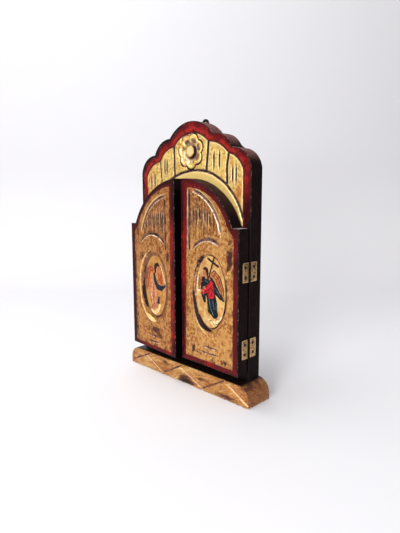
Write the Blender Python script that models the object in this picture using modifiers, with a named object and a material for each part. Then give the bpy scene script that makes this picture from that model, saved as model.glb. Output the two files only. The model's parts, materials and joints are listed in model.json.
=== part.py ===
"""Triptych altarpiece: a carved and gilded wooden icon case with two hinged doors on a plinth.

Metres, +Z up, the front faces -Y. The origin is the middle of the plinth's underside.
Outlines and cuts are drawn upright, as (across, up) pairs on a panel's front face.
"""
import math

import bmesh
import bpy
from mathutils import Vector

MM = 0.001
GAP = 0.3 * MM                       # air between pieces that touch
CUTTER_LIFT = 1.0 * MM               # how far a cutter stands out of the face it cuts

PLINTH_WIDTH = 193.0 * MM
PLINTH_DEPTH = 35.6 * MM
PLINTH_HEIGHT = 21.9 * MM
PLINTH_CORNER = 14.0 * MM            # radius of the two upper corners, seen from the front
ZIGZAG_TURNS = (-93, -64, -35.5, -4, 30.5, 65, 97.5)    # across, in mm: low, high, low and so on
ZIGZAG_LOW = 2.3 * MM
ZIGZAG_HIGH = 19.2 * MM

BOARD_WIDTH = 170.0 * MM
BOARD_THICKNESS = 18.0 * MM
BOARD_SETBACK = 14.45 * MM           # plinth front to board front
LOBE_NOTCHES = ((33.4 * MM, 277.8 * MM), (60.0 * MM, 261.1 * MM))
SHOULDER_HEIGHT = 239.8 * MM
CROWN_RISE = 15.5 * MM
LOBE_RISES = (5.0 * MM, 6.5 * MM)    # how far the two side lobes bulge out from their chords

FIELD_HALF_WIDTH = 75.5 * MM         # gilded field of the tympanum, inside its red border
FIELD_CUSPS = ((27.0 * MM, 269.5 * MM), (53.5 * MM, 255.0 * MM))
FIELD_SHOULDER = 236.0 * MM
FIELD_RISES = (11.9 * MM, 3.6 * MM, 4.6 * MM)
FIELD_FOOT = 30.5 * MM
ARCH_APEX = (6.9 * MM, 240.9 * MM)   # top of the cut arch that follows the doors' tops
ARCH_FEET = (-74.0 * MM, 75.0 * MM)
ARCH_FOOT_HEIGHT = 190.0 * MM
RIB_LEAN = 0.94                      # a rib's foot, as a share of its top's distance from the middle
TYMPANUM_SLOTS = (35.5 * MM, 43.0 * MM, 60.6 * MM, 65.6 * MM)
SLOT_ABOVE_ARCH = 7.0 * MM
SLOT_LENGTH = 15.0 * MM

ROSETTE_CENTRE = (0.0, 261.3 * MM)
ROSETTE_PETALS = 7
ROSETTE_PHASE = math.radians(69.0)
ROSETTE_RADIUS = 18.2 * MM
ROSETTE_SCALLOP = 1.7 * MM
ROSETTE_RIM = 4.2 * MM
ROSETTE_DEPTH = 1.95 * MM
BOSS_RADIUS = 6.2 * MM

DOOR_GAP = 1.9 * MM                  # between the closed doors
SEAM = 2.58 * MM                     # between the doors' backs and the board
DOOR_THICKNESS = 14.9 * MM
DOOR_BOTTOM = 30.9 * MM
DOOR_TOP = 231.8 * MM
LEDGE_HEIGHT = 181.3 * MM
LEDGE_WIDTH = 9.2 * MM
DOOR_WIDTH = BOARD_WIDTH / 2 - DOOR_GAP / 2
ARCH_RISE = {"left": 12.5 * MM, "right": 15.0 * MM}
DOOR_ARC_CENTRE = {"left": (8.3 * MM, 158.0 * MM), "right": (6.2 * MM, 166.7 * MM)}
DOOR_ARC_RADIUS = 55.0 * MM
DOOR_ARC_SPAN = {"left": (82, 6), "right": (84, 4)}     # degrees, from the stile cut outwards
STILE_CUT = {"left": (17.0 * MM, 155.0 * MM), "right": (13.7 * MM, 157.0 * MM)}    # inset, foot
BROW_CENTRE = {"left": (42.2 * MM, 141.0 * MM), "right": (41.7 * MM, 141.3 * MM)}
BROW_RADIUS = 29.6 * MM
BROW_SPAN = {"left": (149, 28), "right": (143, 51)}     # degrees
FLUTES = {"left": ((20.7, 168, 192), (25.7, 168, 198), (31.5, 168, 198), (36.0, 170, 196), (40.7, 172, 194),
                   (48.0, 171, 188)),
          "right": ((19.8, 180, 203), (24.8, 177, 205), (33.2, 178, 205), (39.8, 176, 203),
                    (44.2, 178, 196))}                  # inset, foot and top, in mm
SHORT_CUTS = {"left": ((26.0, 57.0, 48.5), (26.0, 57.0, 41.0)),
              "right": ((31.5, 60.0, 53.3), (24.5, 60.0, 46.5))}    # from, to and height, in mm
OVAL_CENTRE = {"left": (39.7 * MM, 109.0 * MM), "right": (43.5 * MM, 110.9 * MM)}
OVAL_HALVES = {"left": (28.0 * MM, 42.5 * MM), "right": (25.3 * MM, 43.5 * MM)}
OVAL_CHANNEL = 6.0 * MM
OVAL_VALLEY = 0.55                   # the valley's place, as a share of the channel's width
OVAL_DEPTH = 2.4 * MM
OVAL_SINK = 0.7 * MM                 # the painted field lies this far under the face
OVAL_CROWN = 0.3 * MM                # and rises this much to its middle

GROOVE_HALF_WIDTH = 1.5 * MM
GROOVE_DEPTH = 1.3 * MM
POINT_LEFT = 0.12                    # share of a pointed groove's width that is left at its ends
LINE_HALF_WIDTH = 0.9 * MM
LINE_DEPTH = 0.8 * MM
EDGE_CHAMFER = 0.5 * MM

HINGE_HEIGHT = 20.0 * MM
HINGE_CENTRES = {"lower": 58.4 * MM, "upper": 137.7 * MM}
LEAF_THICKNESS = 0.6 * MM
LEAF_START = 0.2 * MM                # from the pin's axis
LEAF_REACH = {"door": 9.1 * MM, "board": 10.2 * MM}   # from the wood's seam edge
PIN_OUT = 1.05 * MM                  # pin axis, outside the wood's side
PIN_RADIUS = 0.5 * MM
KNUCKLE_RADIUS = 1.15 * MM
KNUCKLE_BORE = 0.8 * MM
KNUCKLES = 5
NAIL_RADIUS = 1.0 * MM
NAIL_HEIGHT = 0.45 * MM
NAIL_SPREAD = 5.0 * MM               # nails above and below the hinge's middle
NAIL_PLACE = 0.55                    # along the leaf, from the seam edge

HANGER_CENTRE = (5.5 * MM, 291.5 * MM)
HANGER_THICKNESS = 1.2 * MM
HANGER_EYE_RADIUS = 5.4 * MM
HANGER_HOLE_RADIUS = 2.2 * MM
HANGER_STRAP = 16.0 * MM             # eye's middle to the strap's lower end
HANGER_STRAP_HALF = 3.4 * MM
HANGER_NAIL_RADIUS = 1.6 * MM
HANGER_NAIL_HEIGHT = 0.8 * MM
HANGER_NAILS = (0.58, 0.86)          # down the strap, as shares of its length

REST_ANGLES = {"left": math.radians(3.66), "right": math.radians(-1.4)}

SIDES = {"left": -1, "right": 1}
PLINTH_FRONT = -PLINTH_DEPTH / 2
BOARD_FRONT = PLINTH_FRONT + BOARD_SETBACK
BOARD_BACK = BOARD_FRONT + BOARD_THICKNESS
BOARD_BOTTOM = PLINTH_HEIGHT + GAP
PIN_Y = BOARD_FRONT - SEAM / 2


def clear_scene():
    for thing in list(bpy.data.objects):
        bpy.data.objects.remove(thing, do_unlink=True)


def new_collection(name):
    group = bpy.data.collections.new(name)
    bpy.context.scene.collection.children.link(group)
    return group


def new_material(name, colour, roughness, metallic=0.0):
    material = bpy.data.materials.new(name)
    material.use_nodes = True
    shader = material.node_tree.nodes["Principled BSDF"]
    shader.inputs["Base Color"].default_value = (*colour, 1.0)
    shader.inputs["Roughness"].default_value = roughness
    shader.inputs["Metallic"].default_value = metallic
    material.diffuse_color = (*colour, 1.0)
    return material


def arc_between(start, end, rise, steps):
    """Points on the arc from start to end that bulges to the left of the way by rise."""
    a, b = Vector(start), Vector(end)
    chord = (b - a).length
    radius = (chord * chord / 4 + rise * rise) / (2 * rise)
    left = Vector((a.y - b.y, b.x - a.x)) / chord
    centre = (a + b) / 2 + left * (rise - radius)
    first = math.atan2(a.y - centre.y, a.x - centre.x)
    sweep = 2 * math.asin(min(1.0, chord / (2 * radius)))
    angles = [first - sweep * step / steps for step in range(steps + 1)]
    return [(centre.x + radius * math.cos(t), centre.y + radius * math.sin(t)) for t in angles]


def arc_about(centre, radius, first, last, steps):
    """Points on the circle about centre from angle first to angle last."""
    angles = [first + (last - first) * step / steps for step in range(steps + 1)]
    return [(centre[0] + radius * math.cos(t), centre[1] + radius * math.sin(t)) for t in angles]


def mirrored(points):
    return [(-x, z) for x, z in reversed(points)]


def joined(*runs):
    """One path from several, without doubled points where they meet."""
    path = []
    for run in runs:
        for point in run:
            if not path or (Vector(path[-1]) - Vector(point)).length > 0.01 * MM:
                path.append(point)
    if (Vector(path[-1]) - Vector(path[0])).length < 0.01 * MM:
        path.pop()
    return path


def baked(curve_object):
    """Replaces a curve object by a welded mesh object of the same name and place."""
    name, group = curve_object.name, curve_object.users_collection[0]
    depsgraph = bpy.context.evaluated_depsgraph_get()
    mesh = bpy.data.meshes.new_from_object(curve_object.evaluated_get(depsgraph))
    place = curve_object.matrix_world.copy()
    bpy.data.objects.remove(curve_object, do_unlink=True)
    form = bmesh.new()
    form.from_mesh(mesh)
    bmesh.ops.remove_doubles(form, verts=form.verts, dist=0.002 * MM)
    bmesh.ops.transform(form, matrix=place, verts=form.verts)
    bmesh.ops.recalc_face_normals(form, faces=form.faces)
    form.to_mesh(mesh)
    form.free()
    mesh.name = name
    result = bpy.data.objects.new(name, mesh)
    group.objects.link(result)
    return result


def panel(name, group, outlines, thickness, front):
    """An upright slab: its outline in (across, up), its front face at y = front."""
    curve = bpy.data.curves.new(name, "CURVE")
    curve.dimensions = "2D"
    curve.fill_mode = "BOTH"
    curve.extrude = thickness / 2
    for outline in outlines:
        spline = curve.splines.new("POLY")
        spline.points.add(len(outline) - 1)
        for point, (x, z) in zip(spline.points, outline):
            point.co = (x, z, 0.0, 1.0)
        spline.use_cyclic_u = True
    slab = bpy.data.objects.new(name, curve)
    group.objects.link(slab)
    slab.rotation_euler = (math.pi / 2, 0.0, 0.0)
    slab.location = (0.0, front + thickness / 2, 0.0)
    bpy.context.view_layer.update()
    return baked(slab)


def groove(name, group, path, face, half_width, depth, closed=False, pointed=False):
    """A cutter for a V-groove along path in the face at y = face; pointed ends run out to nothing."""
    curve = bpy.data.curves.new(name, "CURVE")
    curve.dimensions = "2D"
    curve.fill_mode = "NONE"
    curve.bevel_depth = half_width
    curve.bevel_resolution = 0
    curve.use_fill_caps = True
    spline = curve.splines.new("POLY")
    spline.points.add(len(path) - 1)
    last = len(path) - 1
    for index, (x, z) in enumerate(path):
        spline.points[index].co = (x, z, 0.0, 1.0)
        along = math.sin(math.pi * index / last)
        spline.points[index].radius = max(POINT_LEFT, along) if pointed else 1.0
    spline.use_cyclic_u = closed
    cutter = bpy.data.objects.new(name, curve)
    group.objects.link(cutter)
    cutter.rotation_euler = (math.pi / 2, 0.0, 0.0)
    cutter.location = (0.0, face, 0.0)
    cutter.scale = (1.0, 1.0, depth / half_width)
    bpy.context.view_layer.update()
    return hidden(baked(cutter))


def slot(name, group, across, low, high, face, half_width, depth):
    """A cutter for an upright gouge mark with pointed ends."""
    steps = 4
    path = [(across, low + (high - low) * step / steps) for step in range(steps + 1)]
    return groove(name, group, path, face, half_width, depth, pointed=True)


def hidden(cutter):
    cutter.hide_render = True
    cutter.display_type = "WIRE"
    return cutter


def cut_with(target, cutters):
    """Subtracts every cutter in a collection."""
    boolean = target.modifiers.new("carving", "BOOLEAN")
    boolean.operation = "DIFFERENCE"
    boolean.operand_type = "COLLECTION"
    boolean.collection = cutters
    boolean.solver = "EXACT"


def ease_edges(target, width=EDGE_CHAMFER):
    bevel = target.modifiers.new("eased edges", "BEVEL")
    bevel.width = width
    bevel.segments = 1
    bevel.limit_method = "ANGLE"
    bevel.angle_limit = math.radians(50)


def finish(thing, material, rounded=False):
    """Gives a piece its material; only a round piece is shaded smooth."""
    thing.data.materials.clear()
    thing.data.materials.append(material)
    if rounded:
        thing.data.shade_smooth()
        thing.data.set_sharp_from_angle(angle=math.radians(40))
    return thing


def plinth(parts, cutters, gilded):
    corner = PLINTH_CORNER
    half = PLINTH_WIDTH / 2
    turn = arc_about((half - corner, PLINTH_HEIGHT - corner), corner, 0.0, math.pi / 2, 8)
    outline = joined([(-half, 0.0), (half, 0.0)], turn, mirrored(turn))
    bar = panel("plinth", parts, [outline], PLINTH_DEPTH, PLINTH_FRONT)
    ease_edges(bar)
    heights = (ZIGZAG_LOW, ZIGZAG_HIGH)
    path = [(across * MM, heights[index % 2]) for index, across in enumerate(ZIGZAG_TURNS)]
    groove("zigzag", cutters, path, PLINTH_FRONT, GROOVE_HALF_WIDTH, GROOVE_DEPTH)
    cut_with(bar, cutters)
    return finish(bar, gilded)


def board_outline():
    """The back board from its lower left corner round to its lower right one."""
    half = BOARD_WIDTH / 2
    notch, outer_notch = LOBE_NOTCHES
    crown = arc_between((-notch[0], notch[1]), notch, CROWN_RISE, 12)
    inner_lobe = arc_between(notch, outer_notch, LOBE_RISES[0], 7)
    shoulder = arc_between(outer_notch, (half, SHOULDER_HEIGHT), LOBE_RISES[1], 8)
    right = joined(inner_lobe, shoulder)
    foot = [(half, BOARD_BOTTOM), (-half, BOARD_BOTTOM)]
    return joined(mirrored(right), crown, right, foot)


def field_outline():
    """The cut line that bounds the gilded field of the board."""
    cusp, outer_cusp = FIELD_CUSPS
    half = FIELD_HALF_WIDTH
    crown = arc_between((-cusp[0], cusp[1]), cusp, FIELD_RISES[0], 10)
    inner_lobe = arc_between(cusp, outer_cusp, FIELD_RISES[1], 5)
    shoulder = arc_between(outer_cusp, (half, FIELD_SHOULDER), FIELD_RISES[2], 6)
    right = joined(inner_lobe, shoulder)
    foot = [(half, FIELD_FOOT), (-half, FIELD_FOOT)]
    return joined(mirrored(right), crown, right, foot)


def arch_height(across):
    """Height of the tympanum's cut arch, a different circle on each side of its apex."""
    foot = ARCH_FEET[0] if across < ARCH_APEX[0] else ARCH_FEET[1]
    run = foot - ARCH_APEX[0]
    drop = ARCH_APEX[1] - ARCH_FOOT_HEIGHT
    radius = (run * run + drop * drop) / (2 * drop)
    return ARCH_APEX[1] - radius + math.sqrt(radius * radius - (across - ARCH_APEX[0]) ** 2)


def arch_path(steps=22):
    """Points along the tympanum's cut arch, closer together where it falls away."""
    middle = sum(ARCH_FEET) / 2
    reach = (ARCH_FEET[1] - ARCH_FEET[0]) / 2
    across = [middle - reach * math.cos(math.pi * step / steps) for step in range(steps + 1)]
    return [(x, arch_height(x)) for x in across]


def scalloped(radius, scallop, steps_per_petal=6):
    """A closed flower outline whose petals bulge between sharp cusps."""
    count = ROSETTE_PETALS * steps_per_petal
    points = []
    for step in range(count):
        turn = 2 * math.pi * step / count
        petal = abs(math.cos(ROSETTE_PETALS * turn / 2))
        reach = radius + scallop * (2 * petal ** 0.7 - 1)
        angle = ROSETTE_PHASE + turn
        points.append((ROSETTE_CENTRE[0] + reach * math.cos(angle),
                       ROSETTE_CENTRE[1] + reach * math.sin(angle)))
    return points


def carve_rosette(cutters):
    """A scalloped rim that stands between an outer groove and a sunk ring about a round boss."""
    groove("rosette_outline", cutters, scalloped(ROSETTE_RADIUS, ROSETTE_SCALLOP), BOARD_FRONT,
           GROOVE_HALF_WIDTH, GROOVE_DEPTH, closed=True)
    hollow = scalloped(ROSETTE_RADIUS - ROSETTE_RIM - GROOVE_HALF_WIDTH, ROSETTE_SCALLOP)
    boss = arc_about(ROSETTE_CENTRE, BOSS_RADIUS, 0.0, 2 * math.pi, 24)[:-1]
    hidden(panel("rosette_hollow", cutters, [hollow, boss], CUTTER_LIFT + ROSETTE_DEPTH,
                 BOARD_FRONT - CUTTER_LIFT))


def back_board(parts, cutters, material):
    board = panel("back_board", parts, [board_outline()], BOARD_THICKNESS, BOARD_FRONT)
    ease_edges(board)
    groove("field_line", cutters, field_outline(), BOARD_FRONT,
           LINE_HALF_WIDTH, LINE_DEPTH, closed=True)
    groove("tympanum_arch", cutters, arch_path(), BOARD_FRONT, GROOVE_HALF_WIDTH, GROOVE_DEPTH)
    ribs = [(side * cusp[0], cusp[1]) for cusp in FIELD_CUSPS for side in (-1, 1)]
    for index, (across, top) in enumerate(ribs):
        foot = across * RIB_LEAN
        path = [(across, top), (foot, arch_height(foot))]
        groove(f"rib_{index}", cutters, path, BOARD_FRONT, GROOVE_HALF_WIDTH, GROOVE_DEPTH)
    for index, across in enumerate(place * side for place in TYMPANUM_SLOTS for side in (-1, 1)):
        low = arch_height(across) + SLOT_ABOVE_ARCH
        slot(f"tympanum_slot_{index}", cutters, across, low, low + SLOT_LENGTH, BOARD_FRONT,
             LINE_HALF_WIDTH, LINE_DEPTH)
    carve_rosette(cutters)
    cut_with(board, cutters)
    return finish(board, material)


def door_outline(side):
    """A door in (in from its inner edge, up): square below, a falling arch and a ledge above."""
    arch = arc_between((0.0, DOOR_TOP), (DOOR_WIDTH - LEDGE_WIDTH, LEDGE_HEIGHT), ARCH_RISE[side], 14)
    return joined([(0.0, DOOR_BOTTOM)], arch, [(DOOR_WIDTH, LEDGE_HEIGHT), (DOOR_WIDTH, DOOR_BOTTOM)])


def oval_cutter(name, group, centre, halves, face):
    """A turned cutter, stretched to an oval: a V-channel round a slightly sunk, crowned field."""
    half_width, half_height = halves
    valley = half_width - OVAL_CHANNEL * OVAL_VALLEY
    field = half_width - OVAL_CHANNEL
    profile = ((0.0, -CUTTER_LIFT), (half_width, -CUTTER_LIFT), (half_width, 0.0),
               (valley, OVAL_DEPTH), (field, OVAL_SINK), (0.0, OVAL_SINK - OVAL_CROWN))
    mesh = bpy.data.meshes.new(name)
    form = bmesh.new()
    corners = [form.verts.new((radius, 0.0, -depth)) for radius, depth in profile]
    for first, second in zip(corners, corners[1:]):
        form.edges.new((first, second))
    form.to_mesh(mesh)
    form.free()
    cutter = bpy.data.objects.new(name, mesh)
    group.objects.link(cutter)
    turn = cutter.modifiers.new("turn", "SCREW")
    turn.steps = turn.render_steps = 32
    turn.use_merge_vertices = True
    turn.merge_threshold = 0.01 * MM
    cutter.rotation_euler = (math.pi / 2, 0.0, 0.0)
    cutter.location = (centre[0], face, centre[1])
    cutter.scale = (1.0, half_height / half_width, 1.0)
    bpy.context.view_layer.update()
    return hidden(baked(cutter))


def door(side, parts, cutters, pivot, material):
    """A carved door, drawn closed and about its hinge axis, then hung on its pivot."""
    hand = SIDES[side]
    front = -SEAM / 2 - DOOR_THICKNESS

    def placed(points):
        return [(hand * (inset - DOOR_WIDTH - PIN_OUT), z) for inset, z in points]

    slab = panel(f"door_{side}", parts, [placed(door_outline(side))], DOOR_THICKNESS, front)
    ease_edges(slab)
    centre = DOOR_ARC_CENTRE[side]
    arc_start, arc_end = (math.radians(angle) for angle in DOOR_ARC_SPAN[side])
    arc = arc_about(centre, DOOR_ARC_RADIUS, arc_start, arc_end, 12)
    groove(f"{side}_arc", cutters, placed(arc), front, 1.25 * GROOVE_HALF_WIDTH, GROOVE_DEPTH)
    stile, stile_foot = STILE_CUT[side]
    stile_top = centre[1] + math.sqrt(DOOR_ARC_RADIUS ** 2 - (stile - centre[0]) ** 2)
    groove(f"{side}_stile_cut", cutters, placed([(stile, stile_foot), (stile, stile_top)]), front,
           GROOVE_HALF_WIDTH, GROOVE_DEPTH)
    brow_start, brow_end = (math.radians(angle) for angle in BROW_SPAN[side])
    brow = arc_about(BROW_CENTRE[side], BROW_RADIUS, brow_start, brow_end, 10)
    groove(f"{side}_brow", cutters, placed(brow), front, GROOVE_HALF_WIDTH, GROOVE_DEPTH, pointed=True)
    for index, (inset, low, high) in enumerate(FLUTES[side]):
        across = placed([(inset * MM, 0.0)])[0][0]
        slot(f"{side}_flute_{index}", cutters, across, low * MM, high * MM, front,
             GROOVE_HALF_WIDTH, GROOVE_DEPTH)
    for index, (inner, outer, height) in enumerate(SHORT_CUTS[side]):
        path = [((inner + (outer - inner) * step / 4) * MM, height * MM) for step in range(5)]
        groove(f"{side}_short_cut_{index}", cutters, placed(path), front,
               LINE_HALF_WIDTH, LINE_DEPTH, pointed=True)
    oval_cutter(f"{side}_oval", cutters, placed([OVAL_CENTRE[side]])[0], OVAL_HALVES[side], front)
    for cutter in cutters.objects:
        cutter.parent = pivot
    cut_with(slab, cutters)
    slab.parent = pivot
    return finish(slab, material)


def box_between(name, group, low, high):
    """A plain box from its lowest to its highest corner."""
    mesh = bpy.data.meshes.new(name)
    form = bmesh.new()
    bmesh.ops.create_cube(form, size=1.0)
    low, high = Vector(low), Vector(high)
    size = high - low
    bmesh.ops.scale(form, vec=size, verts=form.verts)
    bmesh.ops.translate(form, vec=(low + high) / 2, verts=form.verts)
    form.to_mesh(mesh)
    form.free()
    thing = bpy.data.objects.new(name, mesh)
    group.objects.link(thing)
    return thing


def upright_cylinder(name, group, radius, low, high, sides):
    mesh = bpy.data.meshes.new(name)
    form = bmesh.new()
    bmesh.ops.create_cone(form, cap_ends=True, segments=sides, radius1=radius, radius2=radius,
                          depth=high - low)
    bmesh.ops.translate(form, vec=(0.0, 0.0, (low + high) / 2), verts=form.verts)
    form.to_mesh(mesh)
    form.free()
    thing = bpy.data.objects.new(name, mesh)
    group.objects.link(thing)
    return thing


def boolean_with(target, tool, operation):
    boolean = target.modifiers.new(tool.name, "BOOLEAN")
    boolean.operation = operation
    boolean.object = tool
    boolean.solver = "EXACT"


def hinge_leaf(name, parts, guides, hand, wing, middle, material, pivot):
    """One leaf with its knuckles, about the pin axis; wing is door (to the front) or board."""
    low = middle - HINGE_HEIGHT / 2
    high = middle + HINGE_HEIGHT / 2
    way = -1 if wing == "door" else 1
    inner = -PIN_OUT + GAP
    outer = inner + LEAF_THICKNESS
    reach = SEAM / 2 + LEAF_REACH[wing]
    xs = sorted((hand * inner, hand * outer))
    ys = sorted((way * LEAF_START, way * reach))
    leaf = box_between(name, parts, (xs[0], ys[0], low), (xs[1], ys[1], high))
    pitch = HINGE_HEIGHT / KNUCKLES
    mine = 1 if wing == "door" else 0
    for index in range(KNUCKLES):
        bottom = low + index * pitch
        if index % 2 == mine:
            knuckle = upright_cylinder(f"{name}_knuckle_{index}", guides, KNUCKLE_RADIUS,
                                       bottom + GAP / 2, bottom + pitch - GAP / 2, 10)
            boolean_with(leaf, hidden(knuckle), "UNION")
        else:
            clear = KNUCKLE_RADIUS + GAP
            notch = box_between(f"{name}_notch_{index}", guides, (-clear, -clear, bottom - GAP / 2),
                                (clear, clear, bottom + pitch + GAP / 2))
            boolean_with(leaf, hidden(notch), "DIFFERENCE")
    bore = upright_cylinder(f"{name}_bore", guides, KNUCKLE_BORE, low - MM, high + MM, 8)
    boolean_with(leaf, hidden(bore), "DIFFERENCE")
    for guide in guides.objects:
        if guide.name.startswith(name):
            guide.parent = pivot
    leaf.parent = pivot
    return finish(leaf, material)


def nail(name, group, place, way, radius, height, material, pivot=None):
    """A low domed nail head whose flat side sits GAP off the surface and whose dome faces way."""
    mesh = bpy.data.meshes.new(name)
    form = bmesh.new()
    bmesh.ops.create_cone(form, cap_ends=True, segments=10, radius1=radius, radius2=radius * 0.62,
                          depth=height)
    bmesh.ops.translate(form, vec=(0.0, 0.0, height / 2 + GAP), verts=form.verts)
    form.to_mesh(mesh)
    form.free()
    head = bpy.data.objects.new(name, mesh)
    group.objects.link(head)
    head.location = place
    head.rotation_euler = Vector(way).to_track_quat("Z", "Y").to_euler()
    head.parent = pivot
    return finish(head, material, rounded=True)


def hinge(side, level, parts, guides, pivots, brass, iron):
    """A butt hinge: two leaves, their interleaved knuckles, the pin and four nails."""
    hand = SIDES[side]
    middle = HINGE_CENTRES[level]
    name = f"hinge_{side}_{level}"
    for wing in ("door", "board"):
        pivot = pivots[side, wing]
        hinge_leaf(f"{name}_{wing}_leaf", parts, guides, hand, wing, middle, brass, pivot)
        way = -1 if wing == "door" else 1
        across = hand * (-PIN_OUT + GAP + LEAF_THICKNESS)
        along = way * (SEAM / 2 + LEAF_REACH[wing] * NAIL_PLACE)
        for index, offset in enumerate((-NAIL_SPREAD, NAIL_SPREAD)):
            nail(f"{name}_{wing}_nail_{index + 1}", parts, (across, along, middle + offset),
                 (hand, 0.0, 0.0), NAIL_RADIUS, NAIL_HEIGHT, iron, pivot)
    half = HINGE_HEIGHT / 2
    pin = upright_cylinder(f"{name}_pin", parts, PIN_RADIUS, middle - half, middle + half, 10)
    pin.parent = pivots[side, "board"]
    finish(pin, brass, rounded=True)


def hanger(parts, black):
    """A flat hanging plate with an eye above the board's top, nailed on the back."""
    x, z = HANGER_CENTRE
    eye = HANGER_EYE_RADIUS
    half = HANGER_STRAP_HALF
    low = z - HANGER_STRAP
    start = -math.acos(half / eye)
    top = arc_about(HANGER_CENTRE, eye, start, math.pi - start, 16)
    outline = joined([(x - half, low), (x + half, low)], top)
    hole = arc_about(HANGER_CENTRE, HANGER_HOLE_RADIUS, 0.0, 2 * math.pi, 12)[:-1]
    front = BOARD_BACK + GAP
    plate = panel("hanger_plate", parts, [outline, hole], HANGER_THICKNESS, front)
    finish(plate, black)
    back = front + HANGER_THICKNESS
    for index, drop in enumerate(HANGER_NAILS):
        nail(f"hanger_nail_{index + 1}", parts, (x, back, z - drop * HANGER_STRAP), (0.0, 1.0, 0.0),
             HANGER_NAIL_RADIUS, HANGER_NAIL_HEIGHT, black)


def hinge_pivots(parts):
    """Two empties on each hinge axis: one that carries the door, one that stays with the board."""
    pivots = {}
    for side, hand in SIDES.items():
        for wing in ("door", "board"):
            pivot = bpy.data.objects.new(f"{side}_{wing}_axis", None)
            parts.objects.link(pivot)
            pivot.location = (hand * (BOARD_WIDTH / 2 + PIN_OUT), PIN_Y, 0.0)
            if wing == "door":
                pivot.rotation_euler = (0.0, 0.0, hand * REST_ANGLES[side])
            pivots[side, wing] = pivot
    return pivots


def main():
    clear_scene()
    parts = new_collection("triptych_altarpiece")
    cutters = {name: new_collection(f"{name}_cutters")
               for name in ("plinth", "board", "left", "right", "hinge")}
    gilded = new_material("gilded wood", (0.56, 0.34, 0.12), 0.45, 0.3)
    board_paint = new_material("red and gold board", (0.50, 0.25, 0.08), 0.45, 0.2)
    door_paint = new_material("red and gold door", (0.52, 0.29, 0.10), 0.45, 0.2)
    brass = new_material("worn brass", (0.55, 0.40, 0.22), 0.4, 1.0)
    iron = new_material("dark nail", (0.06, 0.05, 0.05), 0.5, 0.8)
    black = new_material("blackened steel", (0.02, 0.02, 0.02), 0.5, 0.6)
    plinth(parts, cutters["plinth"], gilded)
    back_board(parts, cutters["board"], board_paint)
    pivots = hinge_pivots(parts)
    for side in SIDES:
        door(side, parts, cutters[side], pivots[side, "door"], door_paint)
        for level in HINGE_CENTRES:
            hinge(side, level, parts, cutters["hinge"], pivots, brass, iron)
    hanger(parts, black)


main()
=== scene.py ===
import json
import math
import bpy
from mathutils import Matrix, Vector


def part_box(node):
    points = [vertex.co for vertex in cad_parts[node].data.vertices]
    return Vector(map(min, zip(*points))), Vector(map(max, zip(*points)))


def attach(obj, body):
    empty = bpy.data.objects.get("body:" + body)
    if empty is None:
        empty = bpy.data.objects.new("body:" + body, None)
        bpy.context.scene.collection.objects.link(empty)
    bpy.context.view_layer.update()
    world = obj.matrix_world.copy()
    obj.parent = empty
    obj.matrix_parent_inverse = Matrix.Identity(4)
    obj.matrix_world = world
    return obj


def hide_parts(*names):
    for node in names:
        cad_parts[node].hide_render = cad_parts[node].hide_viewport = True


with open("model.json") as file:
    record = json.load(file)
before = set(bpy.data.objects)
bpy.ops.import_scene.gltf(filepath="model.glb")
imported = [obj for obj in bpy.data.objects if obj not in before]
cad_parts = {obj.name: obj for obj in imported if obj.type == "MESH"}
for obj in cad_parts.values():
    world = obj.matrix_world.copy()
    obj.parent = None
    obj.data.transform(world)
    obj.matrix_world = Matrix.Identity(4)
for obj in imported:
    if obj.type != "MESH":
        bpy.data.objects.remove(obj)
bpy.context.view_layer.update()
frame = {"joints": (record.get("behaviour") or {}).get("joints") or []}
# Looks for the triptych altarpiece: a carved, gilded and painted wooden icon case with two hinged
# doors on a bronzed plinth. Panels are drawn in millimetres as (across, up) on their front faces.
from types import SimpleNamespace

import bmesh
import bpy
import numpy as np
from mathutils import Matrix, Vector, noise

MM = 0.001
SIDES = {"left": -1, "right": 1}
LEVELS = ("lower", "upper")

# ---- Sizes that the carving is drawn from, in millimetres ------------------------------------
board_low, board_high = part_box("back_board")
plinth_low, plinth_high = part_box("plinth")
BOARD_FRONT, BOARD_BACK = board_low.y / MM, board_high.y / MM
BOARD_BOTTOM = board_low.z / MM
BOARD_HALF = board_high.x / MM
LOBE_NOTCHES = ((33.4, 277.8), (60.0, 261.1))
SHOULDER_HEIGHT = 239.8
CROWN_RISE = 15.5
LOBE_RISES = (5.0, 6.5)
FIELD_CUSPS = {"left": ((25.8, 268.8), (50.8, 253.6)), "right": ((27.5, 270.0), (55.4, 256.2))}
FIELD_SHOULDER = (75.5, 236.0)
FIELD_RISES = (11.9, 3.6, 4.6)
FIELD_FOOT = 30.5
ARCH_APEX = (6.9, 240.9)
ARCH_FEET = (-74.0, 75.0)
ARCH_FOOT_HEIGHT = 190.0
# ribs are (half width, path), and gouges are (across, foot, top)
RIBS = ((2.4, ((27.5, 269.0), (24.4, 239.5))), (2.2, ((55.6, 255.8), (53.1, 241.0), (53.8, 226.5))),
        (2.2, ((-26.0, 267.6), (-25.3, 236.2))), (1.5, ((-50.3, 253.9), (-48.1, 230.4))))
TYMPANUM_GOUGES = ((35.1, 236, 262), (42.9, 237, 263), (60.9, 224, 246), (65.4, 221, 247),
                   (-38.6, 235, 258), (-42.4, 234, 260), (-60.8, 221, 243), (-67.0, 219, 238))
# smudges are (across, up, half width, half height, strength)
BOARD_STAINS = ((-67, 232, 9, 17, 0.9), (-73, 216, 5, 18, 0.9), (69, 214, 8, 26, 0.9), (61, 246, 5, 8, 0.6),
                (40, 262, 8, 4, 0.5), (81, 196, 7, 30, 1.1), (9, 247, 8, 2.5, 0.6), (-81, 243, 4, 6, 0.6))
ROSETTE = (0.0, 261.4)
PETALS = 7
PETAL_PHASE = math.radians(69.0)
BOSS_RADIUS = 6.2
PETAL_REACH = (15.4, 18.8)           # between petals, and at their tips
# painted shade: the rosette's dark wax also stands for the shade on this side of the flower
WAX_AND_SHADE_SIDE = math.radians(-35.0)       # the side of the flower where the wax is thickest

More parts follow.
